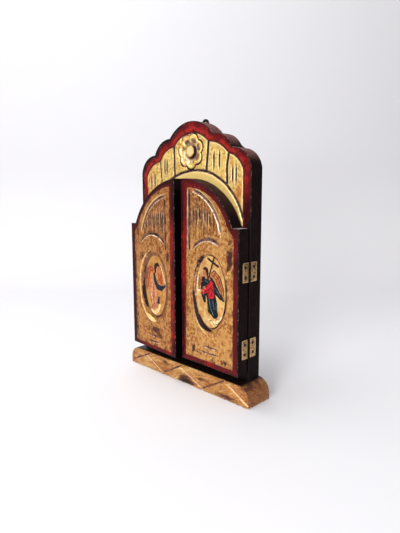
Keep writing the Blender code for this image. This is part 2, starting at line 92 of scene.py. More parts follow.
DOOR_GAP = 1.9
SEAM = 2.58
PIN_OUT = 1.05
DOOR_WIDTH = BOARD_HALF - DOOR_GAP / 2
DOOR_THICKNESS = 14.9
DOOR_BOTTOM, DOOR_TOP = 30.9, 231.8
LEDGE_HEIGHT, LEDGE_WIDTH = 181.3, 9.2
REST_ANGLE = {"left": 3.66, "right": -1.4}
ARCH_RISE = {"left": 12.5, "right": 15.0}
FLUTED_FROM = 166.0
SEEDS = {"board": 1.0, "left": 11.0, "right": 23.0, "plinth": 31.0}

HINGE_HEIGHT = 20.0
KNUCKLES = 5
LEAF_THICKNESS = 0.6
CLEAR = 0.3                          # air between neighbouring knuckles, and under the leaves
KNUCKLE_RADIUS, BORE_RADIUS = 1.15, 0.62
PIN_RADIUS, PIN_EASE = 0.5, 0.1
LEAF_REACH = {"door": 9.1, "board": 10.2}
NAIL_PLACE, NAIL_SPREAD = 0.55, 5.0
HINGE_NAIL, HANGER_NAIL = (1.2, 0.45), (1.6, 0.8)       # radius and height of the heads
HANGER_EYE, HANGER_HOLE = 5.4, 2.2
HANGER_STRAP_HALF, HANGER_STRAP = 3.4, 16.0


def stations(*runs):
    """Places along a line, from runs of (start, end, spacing)."""
    places = []
    for start, end, spacing in runs:
        count = max(1, round((end - start) / spacing))
        places.extend(start + (end - start) * index / count for index in range(count))
    return np.array(places + [runs[-1][1]])


def clamp(values):
    """Values held between 0 and 1."""
    return np.clip(values, 0, 1)


def circle_over(start, end, rise):
    """Centre and radius of the circle through two points that bulges up between them by rise."""
    a, b = np.array(start, float), np.array(end, float)
    chord = np.linalg.norm(b - a)
    radius = (chord ** 2 / 4 + rise ** 2) / (2 * rise)
    up = np.array((a[1] - b[1], b[0] - a[0])) / chord
    return (a + b) / 2 + up * (rise - radius), radius


def height_on(circle, across):
    (x, z), radius = circle
    return z + np.sqrt(np.maximum(radius ** 2 - (across - x) ** 2, 0.0))


def lobed_top(across, cusps, shoulder, rises):
    """Height of an outline with a crown, a small lobe and a round shoulder on each side."""
    reach = np.abs(across)
    (near, high), outer = cusps
    crown = circle_over((-near, high), (near, high), rises[0])
    lobe = circle_over((near, high), outer, rises[1])
    end = circle_over(outer, shoulder, rises[2])
    beyond = np.where(reach < outer[0], height_on(lobe, reach), height_on(end, reach))
    return np.where(reach < near, height_on(crown, reach), beyond)


def arc(centre, radius, first, last, steps=28):
    """Points on a circle from one angle to another, in degrees."""
    turns = np.radians(np.linspace(first, last, steps + 1))
    return [(centre[0] + radius * math.cos(t), centre[1] + radius * math.sin(t)) for t in turns]


def nearest(path, across, up):
    """Distance from every grid point to a path, and the share of the path passed at that place."""
    points = np.array(path, float)
    lengths = np.linalg.norm(np.diff(points, axis=0), axis=1)
    passed = np.concatenate(([0.0], np.cumsum(lengths)))
    best = np.full(across.shape, 1e9)
    share = np.zeros(across.shape)
    for index, length in enumerate(lengths):
        if length < 1e-9:
            continue
        (x, z), way = points[index], (points[index + 1] - points[index]) / length
        run = np.clip((across - x) * way[0] + (up - z) * way[1], 0.0, length)
        away = (across - x - run * way[0]) ** 2 + (up - z - run * way[1]) ** 2
        closer = away < best
        best = np.where(closer, away, best)
        share = np.where(closer, (passed[index] + run) / passed[-1], share)
    return np.sqrt(best), share


def noise_field(across, up, size, seed):
    """Smooth hand unevenness between about -1 and 1, size is its wavelength in mm."""
    flat = [noise.noise(Vector((x / size, z / size, seed))) for x, z in zip(across.flat, up.flat)]
    return np.array(flat).reshape(across.shape)


def deepen(carving, depth, wax, rubbed=0.0, rub_and_highlight="worn"):
    """Takes the deeper of two carvings, the more of two fillings of wax, and the more of two pale lips: one
    of wear down to the white ground, one of gold polished bright; both also paint highlights along the sides
    of the cuts."""
    np.maximum(carving["cut"], depth, out=carving["cut"])
    np.maximum(carving["wax"], clamp(wax), out=carving["wax"])
    np.maximum(carving[rub_and_highlight], clamp(rubbed), out=carving[rub_and_highlight])


def beside(path, across, up=0.0):
    return [(x + across, z + up) for x, z in path]


def groove(carving, hand, path, half_width, depth, fade=0.0, wax=1.0, lip=None, share=0.9, rub_and_highlight="worn"):
    """A V cut along path, filled with wax, and the pale lip beside it, which is wear with a painted
    highlight. fade is the part of the path over which each end runs out."""
    away, passed = nearest(path, *hand)
    strength = np.ones_like(away)
    if fade:
        strength = np.clip(np.minimum(passed, 1.0 - passed) / fade, 0.05, 1.0) ** 0.7
    profile = clamp(1.0 - away / (half_width * strength))
    rubbed = 0.0
    if lip:
        reach, passed = nearest(lip, *hand)
        ends = clamp(np.minimum(passed, 1.0 - passed) / max(fade, 0.04)) ** 0.5
        rubbed = share * ends * clamp(1.6 - 1.6 * reach / (0.36 * half_width))
    deepen(carving, depth * strength * profile, wax * strength * clamp(1.7 * profile), rubbed, rub_and_highlight)


def signed_distance(path, across, up):
    """Distance inside a closed path, negative outside it."""
    away, _ = nearest(path, across, up)
    within = np.zeros(across.shape, bool)
    for (x1, z1), (x2, z2) in zip(path, path[1:]):
        if z1 == z2:
            continue
        crossed = ((up < z1) != (up < z2)) & (across < x1 + (x2 - x1) * (up - z1) / (z2 - z1))
        within ^= crossed
    return np.where(within, away, -away)


def inside_oval(centre, halves, across, up):
    """Distance inside an oval, measured along the line from its centre."""
    x, z = across - centre[0], up - centre[1]
    share = np.sqrt((x / halves[0]) ** 2 + (z / halves[1]) ** 2) + 1e-6
    return np.hypot(x, z) * (1.0 / share - 1.0) + (share < 0.05) * halves[0]


def painted(strokes, across, up):
    """Distance inside a shape painted as strokes; each is a run of (across, up, half width)."""
    inside = np.full(across.shape, -50.0)
    for stroke in strokes:
        ends = stroke if len(stroke) > 1 else (stroke[0], stroke[0])
        for (x1, z1, r1), (x2, z2, r2) in zip(ends, ends[1:]):
            length = max(math.hypot(x2 - x1, z2 - z1), 1e-6)
            way = ((x2 - x1) / length, (z2 - z1) / length)
            run = np.clip((across - x1) * way[0] + (up - z1) * way[1], 0.0, length)
            away = np.hypot(across - x1 - run * way[0], up - z1 - run * way[1])
            np.maximum(inside, r1 + (r2 - r1) * run / length - away, out=inside)
    return inside


def smudged(across, up, stains):
    """How thick the dirt of old smudges lies, each (across, up, half width, half height, strength)."""
    return np.maximum.reduce([strength * (1.0 - np.hypot((across - x) / wide, (up - z) / tall))
                              for x, z, wide, tall, strength in stains])


def border_of(rows, columns):
    """Grid places round the border, as (row, column), anticlockwise from the lower left."""
    last_row, last = rows - 1, columns - 1
    return ([(0, i) for i in range(last)] + [(j, last) for j in range(last_row)]
            + [(last_row, i) for i in range(last, 0, -1)] + [(j, 0) for j in range(last_row, 0, -1)])


def edge_distance(across, up):
    """Distance of every grid point from the panel's outline."""
    loop = border_of(*across.shape)
    path = [(across[place], up[place]) for place in loop]
    return nearest(path + path[:1], across, up)[0]


def eased(edge, radius):
    """How far a rounded-over edge falls back at each distance from the outline."""
    inward = np.clip(radius - edge, 0.0, radius)
    return radius - np.sqrt(radius ** 2 - inward ** 2)


def in_scene(name, data):
    thing = bpy.data.objects.new(name, data)
    bpy.context.scene.collection.objects.link(thing)
    return thing


def mesh_of(name, form):
    """A mesh from a form that is done with."""
    mesh = bpy.data.meshes.new(name)
    form.to_mesh(mesh)
    form.free()
    return mesh


def store(mesh, layer_name, values):
    """Keeps one value a point on a mesh, for a finish to read."""
    attribute = mesh.attributes.new(layer_name, "FLOAT", "POINT")
    attribute.data.foreach_set("value", values.astype(np.float32))


def carved_slab(name, across, up, cut, front, back, layers, back_layers, finishes):
    """A slab with a carved grid as its front, walls, and a coarser grid as its back. layers and
    back_layers are what the finishes read, one value a point: distances in mm, and how strongly
    wax, dirt and wear show."""
    rows, columns = cut.shape
    holding, back_ease, coarse = 0.35, 0.45, 8
    front_points = np.stack((across, front + cut, up), axis=-1).reshape(-1, 3)
    loop = border_of(rows, columns)
    fronts = np.array([j * columns + i for j, i in loop])
    border = front_points[fronts]
    wall_depths = (border[:, 1].max() + holding, back - back_ease - holding, back - back_ease)
    rings = [fronts]
    points = [front_points]
    count = len(front_points)
    for depth in wall_depths:
        ring = border.copy()
        ring[:, 1] = depth
        points.append(ring)
        rings.append(np.arange(count, count + len(loop)))
        count += len(loop)
    cells = np.arange(rows * columns).reshape(rows, columns)
    quads = np.stack((cells[:-1, :-1], cells[:-1, 1:], cells[1:, 1:], cells[1:, :-1]), axis=-1)
    faces = quads.reshape(-1, 4).tolist()
    slots = [0] * len(faces)
    for near, far in zip(rings, rings[1:]):
        wall = np.stack((near, far, np.roll(far, -1), np.roll(near, -1)), axis=-1)
        faces += wall.tolist()
        slots += [1] * len(wall)
    back_index = dict(zip(loop, rings[-1].tolist()))

    def picked(size):
        return [0, 1, *range(1 + coarse, size - 1 - coarse // 2, coarse), size - 2, size - 1]

    inner = [(j, i) for j in picked(rows)[1:-1] for i in picked(columns)[1:-1]]
    for place in inner:
        back_index[place] = count
        count += 1
    points.append(np.array([(across[p], back, up[p]) for p in inner]))
    for j0, j1 in zip(picked(rows), picked(rows)[1:]):
        for i0, i1 in zip(picked(columns), picked(columns)[1:]):
            low = [(j0, i) for i in range(i0, i1)] if j0 == 0 else [(j0, i0)]
            right = [(j, i1) for j in range(j0, j1)] if i1 == columns - 1 else [(j0, i1)]
            high = [(j1, i) for i in range(i1, i0, -1)] if j1 == rows - 1 else [(j1, i1)]
            left = [(j, i0) for j in range(j1, j0, -1)] if i0 == 0 else [(j1, i0)]
            faces.append([back_index[p] for p in reversed(low + right + high + left)])
            slots.append(2)
    mesh = bpy.data.meshes.new(name)
    mesh.from_pydata((np.concatenate(points) * MM).tolist(), [], faces)
    mesh.polygons.foreach_set("material_index", slots)
    for layer_name in sorted(set(layers) | set(back_layers)):
        near = layers.get(layer_name, np.zeros_like(cut))
        far = back_layers.get(layer_name, np.zeros_like(cut))
        at_border, behind = [near[p] for p in loop], [far[p] for p in loop]
        values = [near.ravel(), at_border, behind, behind, [far[p] for p in inner]]
        store(mesh, layer_name, np.concatenate(values))
    for finish in finishes:
        mesh.materials.append(finish)
    mesh.shade_smooth()
    return in_scene(name, mesh)


# ---- Finishes --------------------------------------------------------------------------------
# golds run from the body of the coat, through two browner ones, to the brightest. film is the wax on the
# sides of the cuts, and rub is the colour of polished gold and of the painted highlights on the lips of the
# cuts. glow brightens the red low down and near the middle, streak brightens it beside the gold high up, and
# soot darkens it along the top.
DOOR_REDS = ("541012", "3A080B", "74141A")
TONES = {
    "left": {"golds": ("BA8448", "A26030", "7C4424", "CC9A58"), "reds": DOOR_REDS, "stain": "44201A",
             "film": "6C4838", "rub_and_highlight": "F0D292", "glow": 0.7, "streak": 0.0, "soot": 0.85},
    "right": {"golds": ("C69456", "B4743C", "94562E", "DCB86E"), "reds": DOOR_REDS, "stain": "35161A",
              "film": "684A46", "rub_and_highlight": "F0D49A", "glow": 0.6, "streak": 0.0, "soot": 0.4},
    "board": {"golds": ("F8D880", "E6BC64", "B98840", "F8E094"), "reds": ("621012", "440C0E", "8C1E1C"),
              "stain": "9C5C2C", "film": "684A46", "rub_and_highlight": "F2DCA4", "glow": 0.0, "streak": 0.55, "soot": 0.0},
}


def linear(code):
    """An sRGB hex colour as the linear values that shaders take."""
    parts = [int(code[i:i + 2], 16) / 255 for i in (0, 2, 4)]
    return (*[c / 12.92 if c <= 0.04045 else ((c + 0.055) / 1.055) ** 2.4 for c in parts], 1.0)


def add(tree, kind, settings=None, links=None):
    """Adds a node, sets its properties and sockets, and links the sources of its sockets."""
    node = tree.nodes.new("ShaderNode" + kind)
    for name, value in (settings or {}).items():
        if isinstance(name, str) and hasattr(node, name):
            setattr(node, name, value)
        else:
            node.inputs[name].default_value = value
    for name, source in (links or {}).items():
        tree.links.new(node.inputs[name], source)
    return node


def new_finish(name, roughness=0.5, specular=0.5):
    """A material, its node tree, its shader and the place on the piece."""
    finish = bpy.data.materials.new(name)
    finish.use_nodes = True
    tree = finish.node_tree
    shader = tree.nodes["Principled BSDF"]
    shader.inputs["Roughness"].default_value = roughness
    shader.inputs["Specular IOR Level"].default_value = specular
    return finish, tree, shader, add(tree, "TexCoord").outputs["Object"]


def cloudy(tree, place, size_mm, stretch=(1, 1, 1), detail=4.0):
    """Uneven cloudiness with features about size_mm across, a value around a half."""
    spot = add(tree, "Mapping", {"Scale": stretch}, {"Vector": place}).outputs[0]
    settings = {"Scale": 1.0 / (size_mm * MM), "Detail": detail, "Roughness": 0.6}
    return add(tree, "TexNoise", settings, {"Vector": spot}).outputs["Fac"]


def where(tree, *limits, share=1.0):
    """Where a coat shows: the product of soft steps, each as (value, none at, full at)."""
    shown = None
    for value, none_at, full_at in limits:
        settings = {"interpolation_type": "SMOOTHSTEP", "From Min": none_at, "From Max": full_at,
                    "To Max": share if shown is None else 1.0}
        soft = add(tree, "MapRange", settings, {"Value": value}).outputs[0]
        if shown is not None:
            soft = add(tree, "Math", {"operation": "MULTIPLY"}, {0: shown, 1: soft}).outputs[0]
        shown = soft
    return shown


def gathered(tree, *masks):
    """Several deposits of dirt or wear together, never more than all."""
    total = masks[0]
    for mask in masks[1:]:
        total = add(tree, "Math", {"operation": "ADD", "use_clamp": True}, {0: total, 1: mask}).outputs[0]
    return total


def coated(tree, ground, *layers):
    """The colour of a ground, a hex or a socket, under coats, each as (where it shows, its colour)."""
    for mask, coat in layers:
        settings, links = {"data_type": "RGBA"}, {0: mask}
        for socket, colour in ((6, ground), (7, coat)):
            if isinstance(colour, str):
                settings[socket] = linear(colour)
            else:
                links[socket] = colour
        ground = add(tree, "Mix", settings, links).outputs[2]
    return ground


def ranged(tree, shader, socket, mask, low, high):
    """Lets a mask carry one of the shader's values from low to high."""
    value = add(tree, "MapRange", {"To Min": low, "To Max": high}, {"Value": mask}).outputs[0]
    tree.links.new(shader.inputs[socket], value)


def relief(tree, shader, height_mm, *masks):
    """Fine unevenness of a surface, height_mm deep."""
    bump = add(tree, "Bump", {"Distance": height_mm * MM}, {"Height": gathered(tree, *masks)})
    tree.links.new(shader.inputs["Normal"], bump.outputs[0])


def on_piece(tree, place):
    """The place across the piece, its distance from the middle, and its height."""
    spot = add(tree, "SeparateXYZ", links={0: place}).outputs
    return spot["X"], add(tree, "Math", {"operation": "ABSOLUTE"}, {0: spot["X"]}).outputs[0], spot["Z"]


def facing_up(tree):
    """How far the surface faces up, 1 where it lies level."""
    return add(tree, "SeparateXYZ", links={0: add(tree, "NewGeometry").outputs["Normal"]}).outputs["Z"]


def layer(tree, name, place=None, sway_mm=0.0, sway_size=6.0):
    """A value stored on the piece, swayed as by an unsteady brush."""
    value = add(tree, "Attribute", {"attribute_name": name}).outputs["Fac"]
    if not sway_mm:
        return value
    sway = add(tree, "MapRange", {"From Min": 0.25, "From Max": 0.75, "To Min": -sway_mm, "To Max": sway_mm},
               {"Value": cloudy(tree, place, sway_size, detail=3.0)}).outputs[0]
    return add(tree, "Math", {"operation": "ADD"}, {0: value, 1: sway}).outputs[0]


def smudges(tree, strokes):
    """Old smudges, their edges made ragged by the strokes of a brush."""
    settings = {"operation": "MULTIPLY_ADD", 1: 2.0}
    return add(tree, "Math", settings, {0: strokes, 2: layer(tree, "stain")}).outputs[0]


def painted_figure(tree, place, gold, paints, small):
    """A figure painted on the gold of the oval: flat shapes with soft hand-drawn edges.
    Gives the colour and how much of the gold's metal still shows."""
    bare = None
    for shape in FIGURE_ORDER:
        if shape not in paints:
            continue
        light, deep = paints[shape]
        drawn = where(tree, (layer(tree, shape, place, 0.14, 1.6), -0.1, 0.12))
        gold = coated(tree, gold, (drawn, coated(tree, light, (where(tree, (small, 0.4, 0.6)), deep))))
        left = where(tree, (drawn, 1.0, 0.0))
        bare = left if bare is None else where(tree, (bare, 0.0, 1.0), (left, 0.0, 1.0))
    return gold, bare


def weathering(tree, place):
    """The noises, distances and smudges that break up every coat on a gilded panel."""
    _, beyond, rise = on_piece(tree, place)
    freckles = cloudy(tree, place, 1.9, stretch=(1, 1, 0.7), detail=5.0)
    strokes = cloudy(tree, place, 3.0, stretch=(1, 1, 0.45))
    return SimpleNamespace(
        wide=cloudy(tree, place, 26), patches=cloudy(tree, place, 8), small=cloudy(tree, place, 3.2),
        freckles=freckles, strokes=strokes, drag=cloudy(tree, place, 1.2, stretch=(1, 1, 0.08)),
        beyond=beyond, rise=rise, fluted=layer(tree, "fluted", place, 0.8),
        in_cuts=layer(tree, "wax", place, 0.14, 3.0), field=layer(tree, "field", place, 0.6),
        edge=layer(tree, "edge", place, 0.35, 4.0),
        clean=where(tree, (layer(tree, "clean", place, 0.1), 0.9, 0.3)),
        stained=where(tree, (smudges(tree, strokes), 1.15, 1.75), (freckles, 0.0, 0.38), share=0.97))


def rubbed_gold(tree, place, on, tones, wax):
    """Bronze powder, thin in places over the red ground, under brown wax that was rubbed on and
    wiped off. Gives its colour, how far its metal shows, and where the wax stayed."""
    golds = tones["golds"]
    rubbed_area, plain_area = (on.clean, 0.0, 1.0), (on.clean, 1.0, 0.0)
    gold = coated(
        tree, golds[0], (where(tree, (on.patches, 0.4, 0.62), rubbed_area), golds[1]),
        (where(tree, (on.small, 0.48, 0.64), (on.wide, 0.3, 0.55), rubbed_area), golds[2]),
        (where(tree, (on.rise, 150 * MM, 205 * MM), (on.small, 0.3, 0.6), (on.fluted, -1.0, 1.5),
               share=0.7 * wax), "96592F"),
        (where(tree, plain_area, share=0.6), "FFDA88"),
        (where(tree, plain_area, (on.patches, 0.46, 0.7), (on.rise, 220 * MM, 180 * MM), share=0.6),
         golds[1]))
    dirt = gathered(
        tree,
        where(tree, (cloudy(tree, place, 1.5, stretch=(1, 1, 0.09)), 0.46, 0.56), (on.fluted, 0.4, 2.0),
              (on.small, 0.3, 0.5), share=0.95),
        where(tree, (on.field, 5.0, 0.0), (on.patches, 0.4, 0.6), share=0.6 * wax),
        where(tree, (on.freckles, 0.53, 0.66), (on.patches, 0.42, 0.6), rubbed_area, share=0.8 * wax),
        where(tree, (on.drag, 0.54, 0.64), (on.wide, 0.4, 0.6), rubbed_area, share=0.7 * wax),
        where(tree, (on.wide, 0.54, 0.74), (on.patches, 0.4, 0.62), share=0.5 * wax))
    bright = where(tree, (on.small, 0.52, 0.38), (on.patches, 0.38, 0.58), share=0.7)
    through = where(tree, (cloudy(tree, place, 5.5), 0.52, 0.68), (on.freckles, 0.42, 0.62), share=0.65 * wax)
    # polished gold with a painted highlight along the lips of the cuts
    polish_and_highlight = where(tree, (layer(tree, "burnish", place, 0.15, 3.0), 0.1, 1.0), (on.small, 0.2, 0.45),
                      share=0.9)
    gold = coated(tree, gold, (bright, golds[3]), (through, "A2502C"), (dirt, "502C1C"),
                  (on.stained, tones["stain"]), (polish_and_highlight, tones["rub_and_highlight"]))
    dulled = gathered(tree, dirt, on.stained, where(tree, (on.in_cuts, 0.1, 0.7)))
    return gold, where(tree, (dulled, 1.0, 0.0), share=0.55), dirt


def oval_picture(tree, place, on, golds, gold, shine, paints):
    """The oval's own gold, its figure and its brown outline. Gives the colour and the shine."""
    inside = layer(tree, "picture")
    ground = coated(tree, paints["ground"], (where(tree, (on.patches, 0.42, 0.62), share=0.7), golds[1]),
                    (where(tree, (on.freckles, 0.58, 0.7), share=0.7), golds[2]))
    gold = coated(tree, gold, (where(tree, (inside, -0.2, 0.3), share=0.85), ground))
    gold, bare = painted_figure(tree, place, gold, paints, on.small)
    outline = where(tree, (layer(tree, "picture", place, 0.3, 5.0), -0.5, -0.1), (inside, 0.5, 0.1))
    return coated(tree, gold, (outline, "3A211B")), where(tree, (bare, 0.0, 1.0), (shine, 0.0, 1.0))


def red_border(tree, on, tones):
    """The hand-brushed oxblood border: lighter and darker strokes, and the same smudges as the gold."""
    reds = tones["reds"]
    return coated(
        tree, reds[0], (where(tree, (on.wide, 0.42, 0.62)), reds[1]),
        (where(tree, (on.strokes, 0.5, 0.68), (on.patches, 0.38, 0.62), share=0.8), reds[2]),
        (where(tree, (on.wide, 0.4, 0.6), (on.small, 0.3, 0.6), (on.rise, 205 * MM, 165 * MM),
               (on.beyond, 85 * MM, 30 * MM), share=tones["glow"]), "A8221A"),
        (where(tree, (on.field, -7.0, -3.0), (on.field, -0.2, -1.6), (on.patches, 0.36, 0.6),
               (on.rise, 205 * MM, 245 * MM), share=tones["streak"]), "AA2A22"),
        (where(tree, (on.drag, 0.5, 0.66), (on.freckles, 0.42, 0.62), share=0.9), "360C0E"),
        (on.stained, "26070A"))


def painted_gilding(name, tones, wax=1.0, paints=None):
    """Bronze-powder gilding over a red ground on carved wood, rubbed back with brown wax, and a
    hand-brushed oxblood border. The wax lies as a film on the sides of every cut, black in its
    bottom, and freckles the high places."""
    finish, tree, shader, place = new_finish(name, specular=0.1)
    on = weathering(tree, place)
    gold, shine, dirt = rubbed_gold(tree, place, on, tones, wax)
    if paints:
        gold, shine = oval_picture(tree, place, on, tones["golds"], gold, shine, paints)
    # the pale lips beside the cuts: wear with a painted highlight
    lips = where(tree, (layer(tree, "worn", place, 0.2, 2.2), 0.4, 0.85), (on.small, 0.66, 0.42), share=0.9)
    gold = coated(tree, gold, (where(tree, (on.in_cuts, 0.22, 0.5), share=0.92), tones["film"]),
                  (where(tree, (on.in_cuts, 0.62, 0.84)), "22120F"), (lips, "EBDCC0"))
    gilt = where(tree, (on.field, -0.15, 0.15))
    chipped = where(tree, (on.edge, 0.4, 0.1), (on.edge, -0.3, 0.0), (on.small, 0.5, 0.62), share=0.6)
    colour = coated(
        tree, red_border(tree, on, tones), (gilt, gold),
        (where(tree, (on.edge, 4.2, 0.8), (on.patches, 0.7, 0.36), share=0.75), "26090B"),
        (where(tree, (on.edge, 7.5, 2.6), (on.rise, 183 * MM, 194 * MM), share=tones["soot"]), "1C060B"),
        (where(tree, (on.edge, 0.9, 0.35)), "170E0F"), (chipped, "9C8078"))
    tree.links.new(shader.inputs["Base Color"], colour)
    ranged(tree, shader, "Metallic", where(tree, (shine, 0.0, 0.55), (gilt, 0.0, 1.0)), 0.0, 0.55)
    matt = gathered(tree, dirt, where(tree, (on.small, 0.4, 0.65), share=0.4))
    ranged(tree, shader, "Roughness", matt, 0.36, 0.62)
    relief(tree, shader, 0.12, where(tree, (on.small, 0.3, 0.7), share=0.4),
           where(tree, (on.freckles, 0.35, 0.65), share=0.3))
    return finish


def black_lacquer(name, dust_and_sheen_share):
    """Black lacquer brushed round the edges of the board and the doors: satin, streaked, brown where it is
    thin, paler on its upward faces with dust and a painted sheen, and pale on the doors' flat ledges with
    wear and a painted highlight."""
    finish, tree, shader, place = new_finish(name, specular=0.03)
    drag = cloudy(tree, place, 0.9, stretch=(1, 1, 0.05))
    cloud, specks = cloudy(tree, place, 14), cloudy(tree, place, 1.3)
    streaks = where(tree, (drag, 0.45, 0.65), (cloud, 0.35, 0.6))
    level = facing_up(tree)
    # painted sheen: upward faces are paler, partly dust and partly a sheen of light from above
    dust_and_sheen = where(tree, (level, 0.35, 0.85), (cloudy(tree, place, 2.0, stretch=(1, 0.5, 1)), 0.12, 0.66),
                 share=dust_and_sheen_share)
    _, beyond, rise = on_piece(tree, place)
    # wear and a painted highlight: the flat tops of the doors' ledges are painted pale
    ledge = where(tree, (level, 0.97, 0.995), (rise, (LEDGE_HEIGHT - 0.9) * MM, (LEDGE_HEIGHT - 0.4) * MM),
                  (rise, (LEDGE_HEIGHT + 0.9) * MM, (LEDGE_HEIGHT + 0.4) * MM))
    # painted shade: the doors' meeting edges, in the gap between them, are painted nearly black
    colour = coated(tree, "140C0D", (streaks, "221617"),
                    (where(tree, (specks, 0.6, 0.7), (cloud, 0.42, 0.6)), "3E2C28"), (dust_and_sheen, "875A53"),
                    (where(tree, (beyond, 7 * MM, 5 * MM), (rise, 225 * MM, 215 * MM)), "050303"),
                    (ledge, "A89C96"))
    tree.links.new(shader.inputs["Base Color"], colour)
    ranged(tree, shader, "Roughness", streaks, 0.5, 0.65)
    relief(tree, shader, 0.08, where(tree, (drag, 0.3, 0.7), share=0.7),
           where(tree, (specks, 0.4, 0.7), share=0.3))
    return finish


def stained_back(name):
    """The plain back: softwood under a thin black stain, its grain open and matt."""
    finish, tree, shader, place = new_finish(name, roughness=0.68)
    grain = cloudy(tree, place, 2.4, stretch=(1, 1, 0.06), detail=6.0)
    bands = cloudy(tree, place, 18, stretch=(1, 1, 0.3))
    colour = coated(tree, "231A17", (where(tree, (grain, 0.35, 0.65)), "382A23"),
                    (where(tree, (bands, 0.48, 0.7)), "181210"))
    tree.links.new(shader.inputs["Base Color"], colour)
    relief(tree, shader, 0.14, where(tree, (grain, 0.3, 0.7)))
    return finish


def bronzed_plinth(name):
    """Bronze powder over brown, smeared along the bar: dirty at its foot and in smudges, and browner
    on its round ends and towards its left end."""
    finish, tree, shader, place = new_finish(name, specular=0.3)
    wide = cloudy(tree, place, 30, stretch=(0.5, 1, 1.2))
    smears = cloudy(tree, place, 6, stretch=(0.25, 0.6, 1))
    patches, small, freckles = (cloudy(tree, place, size) for size in (9, 3, 1.2))
    leaning = add(tree, "Mapping", {"Rotation": (0.0, math.radians(24.0), 0.0)}, {"Vector": place}).outputs[0]
    drag = cloudy(tree, leaning, 1.3, stretch=(0.1, 0.3, 1))
    across, beyond, rise = on_piece(tree, place)
    in_cuts = layer(tree, "wax", place, 0.12, 3.0)
    # the pale lips of the cuts: wear with a painted highlight
    lips = where(tree, (layer(tree, "worn", place, 0.15, 2.5), 0.35, 0.8))
    # the top is black under and around the board that stands on it
    seat = where(tree, (facing_up(tree), 0.75, 0.95), (beyond, 90 * MM, 84 * MM))
    ragged = smudges(tree, smears)
    dirt = gathered(tree, where(tree, (rise, 3 * MM, 0.3 * MM), (smears, 0.3, 0.6), share=0.7),
                    where(tree, (ragged, 1.15, 1.9), (freckles, 0.1, 0.45), share=0.97),
                    where(tree, (freckles, 0.52, 0.68), (small, 0.4, 0.6), share=0.6),
                    where(tree, (drag, 0.5, 0.66), (small, 0.3, 0.6), share=0.6),
                    where(tree, (layer(tree, "front"), 0.9, 0.1), (freckles, 0.35, 0.6), share=0.45))
    bright = where(tree, (smears, 0.5, 0.36), (wide, 0.66, 0.42), share=0.7)
    colour = coated(
        tree, "C28A4C", (where(tree, (small, 0.4, 0.62), share=0.7), "AA6E38"), (bright, "E9C07C"),
        (where(tree, (drag, 0.48, 0.36), (patches, 0.35, 0.6), share=0.5), "EECA8C"),
        (where(tree, (smears, 0.5, 0.66), share=0.7), "96562C"), (dirt, "4C2415"),
        (where(tree, (ragged, 1.8, 2.5), (freckles, 0.1, 0.45)), "1E0E09"),
        (where(tree, (beyond, 88 * MM, 95 * MM), share=0.45), "8A4628"),
        (where(tree, (across, -40 * MM, -75 * MM), (patches, 0.25, 0.6), share=0.5), "9A5C30"),
        (where(tree, (in_cuts, 0.35, 0.6)), "6A4038"), (where(tree, (in_cuts, 0.7, 0.95)), "38221E"),
        # a pale line along the very foot of the front: wear with a painted highlight of light from the floor
        (where(tree, (rise, 1.8 * MM, 0.8 * MM), (small, 0.4, 0.55), share=0.7), "E4C8A0"),
        (lips, "FBE2C6"), (seat, "1C110D"))
    tree.links.new(shader.inputs["Base Color"], colour)
    ranged(tree, shader, "Metallic", gathered(tree, dirt, where(tree, (in_cuts, 0.1, 0.6))), 0.55, 0.05)
    ranged(tree, shader, "Roughness", dirt, 0.38, 0.6)
    relief(tree, shader, 0.16, *(where(tree, (noise_value, 0.3, 0.7), share=share)
                                 for noise_value, share in ((small, 0.4), (freckles, 0.3), (drag, 0.3))))
    return finish


def worn_brass(name):
    """Rolled brass sheet, gone brown in the middle of each leaf, black round the nails and the barrel with
    dirt and a painted shade, and rubbed bright along its edges."""
    finish, tree, shader, place = new_finish(name)
    tarnish, specks = cloudy(tree, place, 2.6), cloudy(tree, place, 0.9)
    scratches = cloudy(tree, place, 0.5, stretch=(1, 0.5, 0.15))
    up = add(tree, "Math", {"operation": "ABSOLUTE"}, {0: layer(tree, "leaf up", place, 0.2, 1.5)}).outputs[0]
    from_side = add(tree, "Math", {0: HINGE_HEIGHT / 2, "operation": "SUBTRACT"}, {1: up}).outputs[0]
    from_end = layer(tree, "leaf end")
    from_edge = add(tree, "Math", {"operation": "MINIMUM"}, {0: from_side, 1: from_end}).outputs[0]
    beside_nail = add(tree, "Math", {1: NAIL_SPREAD, "operation": "SUBTRACT"}, {0: up}).outputs[0]
    spot = add(tree, "CombineXYZ", links={0: layer(tree, "leaf nail"), 1: beside_nail}).outputs[0]
    from_nail = add(tree, "VectorMath", {"operation": "LENGTH"}, {0: spot}).outputs["Value"]
    middle = where(tree, (from_edge, 0.3, 1.5))
    dull = where(tree, (tarnish, 0.42, 0.6), (middle, 0.0, 1.0), share=0.9)
    # dirt and a painted shade: dark round the nails and along the barrel
    grime_and_shade = gathered(tree, where(tree, (from_nail, 2.1, 1.4)),
                     where(tree, (layer(tree, "leaf across"), 1.7, 1.2)))
    colour = coated(tree, "D2AC78", (dull, "6E4630"),
                    (where(tree, (specks, 0.52, 0.64), (middle, 0.0, 1.0), share=0.85), "38221D"),
                    (where(tree, (scratches, 0.58, 0.68), share=0.8), "F2D9A8"), (grime_and_shade, "21140F"))
    tree.links.new(shader.inputs["Base Color"], colour)
    shader.inputs["Metallic"].default_value = 1.0
    ranged(tree, shader, "Roughness", dull, 0.3, 0.6)
    relief(tree, shader, 0.08, where(tree, (tarnish, 0.3, 0.7), share=0.5),
           where(tree, (scratches, 0.3, 0.7), share=0.5))
    return finish


def dark_steel(name, deep, light, roughness):
    """Small steel parts, blued or painted black, dull with a little brown rust."""
    finish, tree, shader, place = new_finish(name, roughness=roughness)
    rust = where(tree, (cloudy(tree, place, 1.6), 0.5, 0.66))
    tree.links.new(shader.inputs["Base Color"], coated(tree, deep, (rust, light)))
    ranged(tree, shader, "Metallic", rust, 0.8, 0.2)
    relief(tree, shader, 0.08, rust)
    return finish


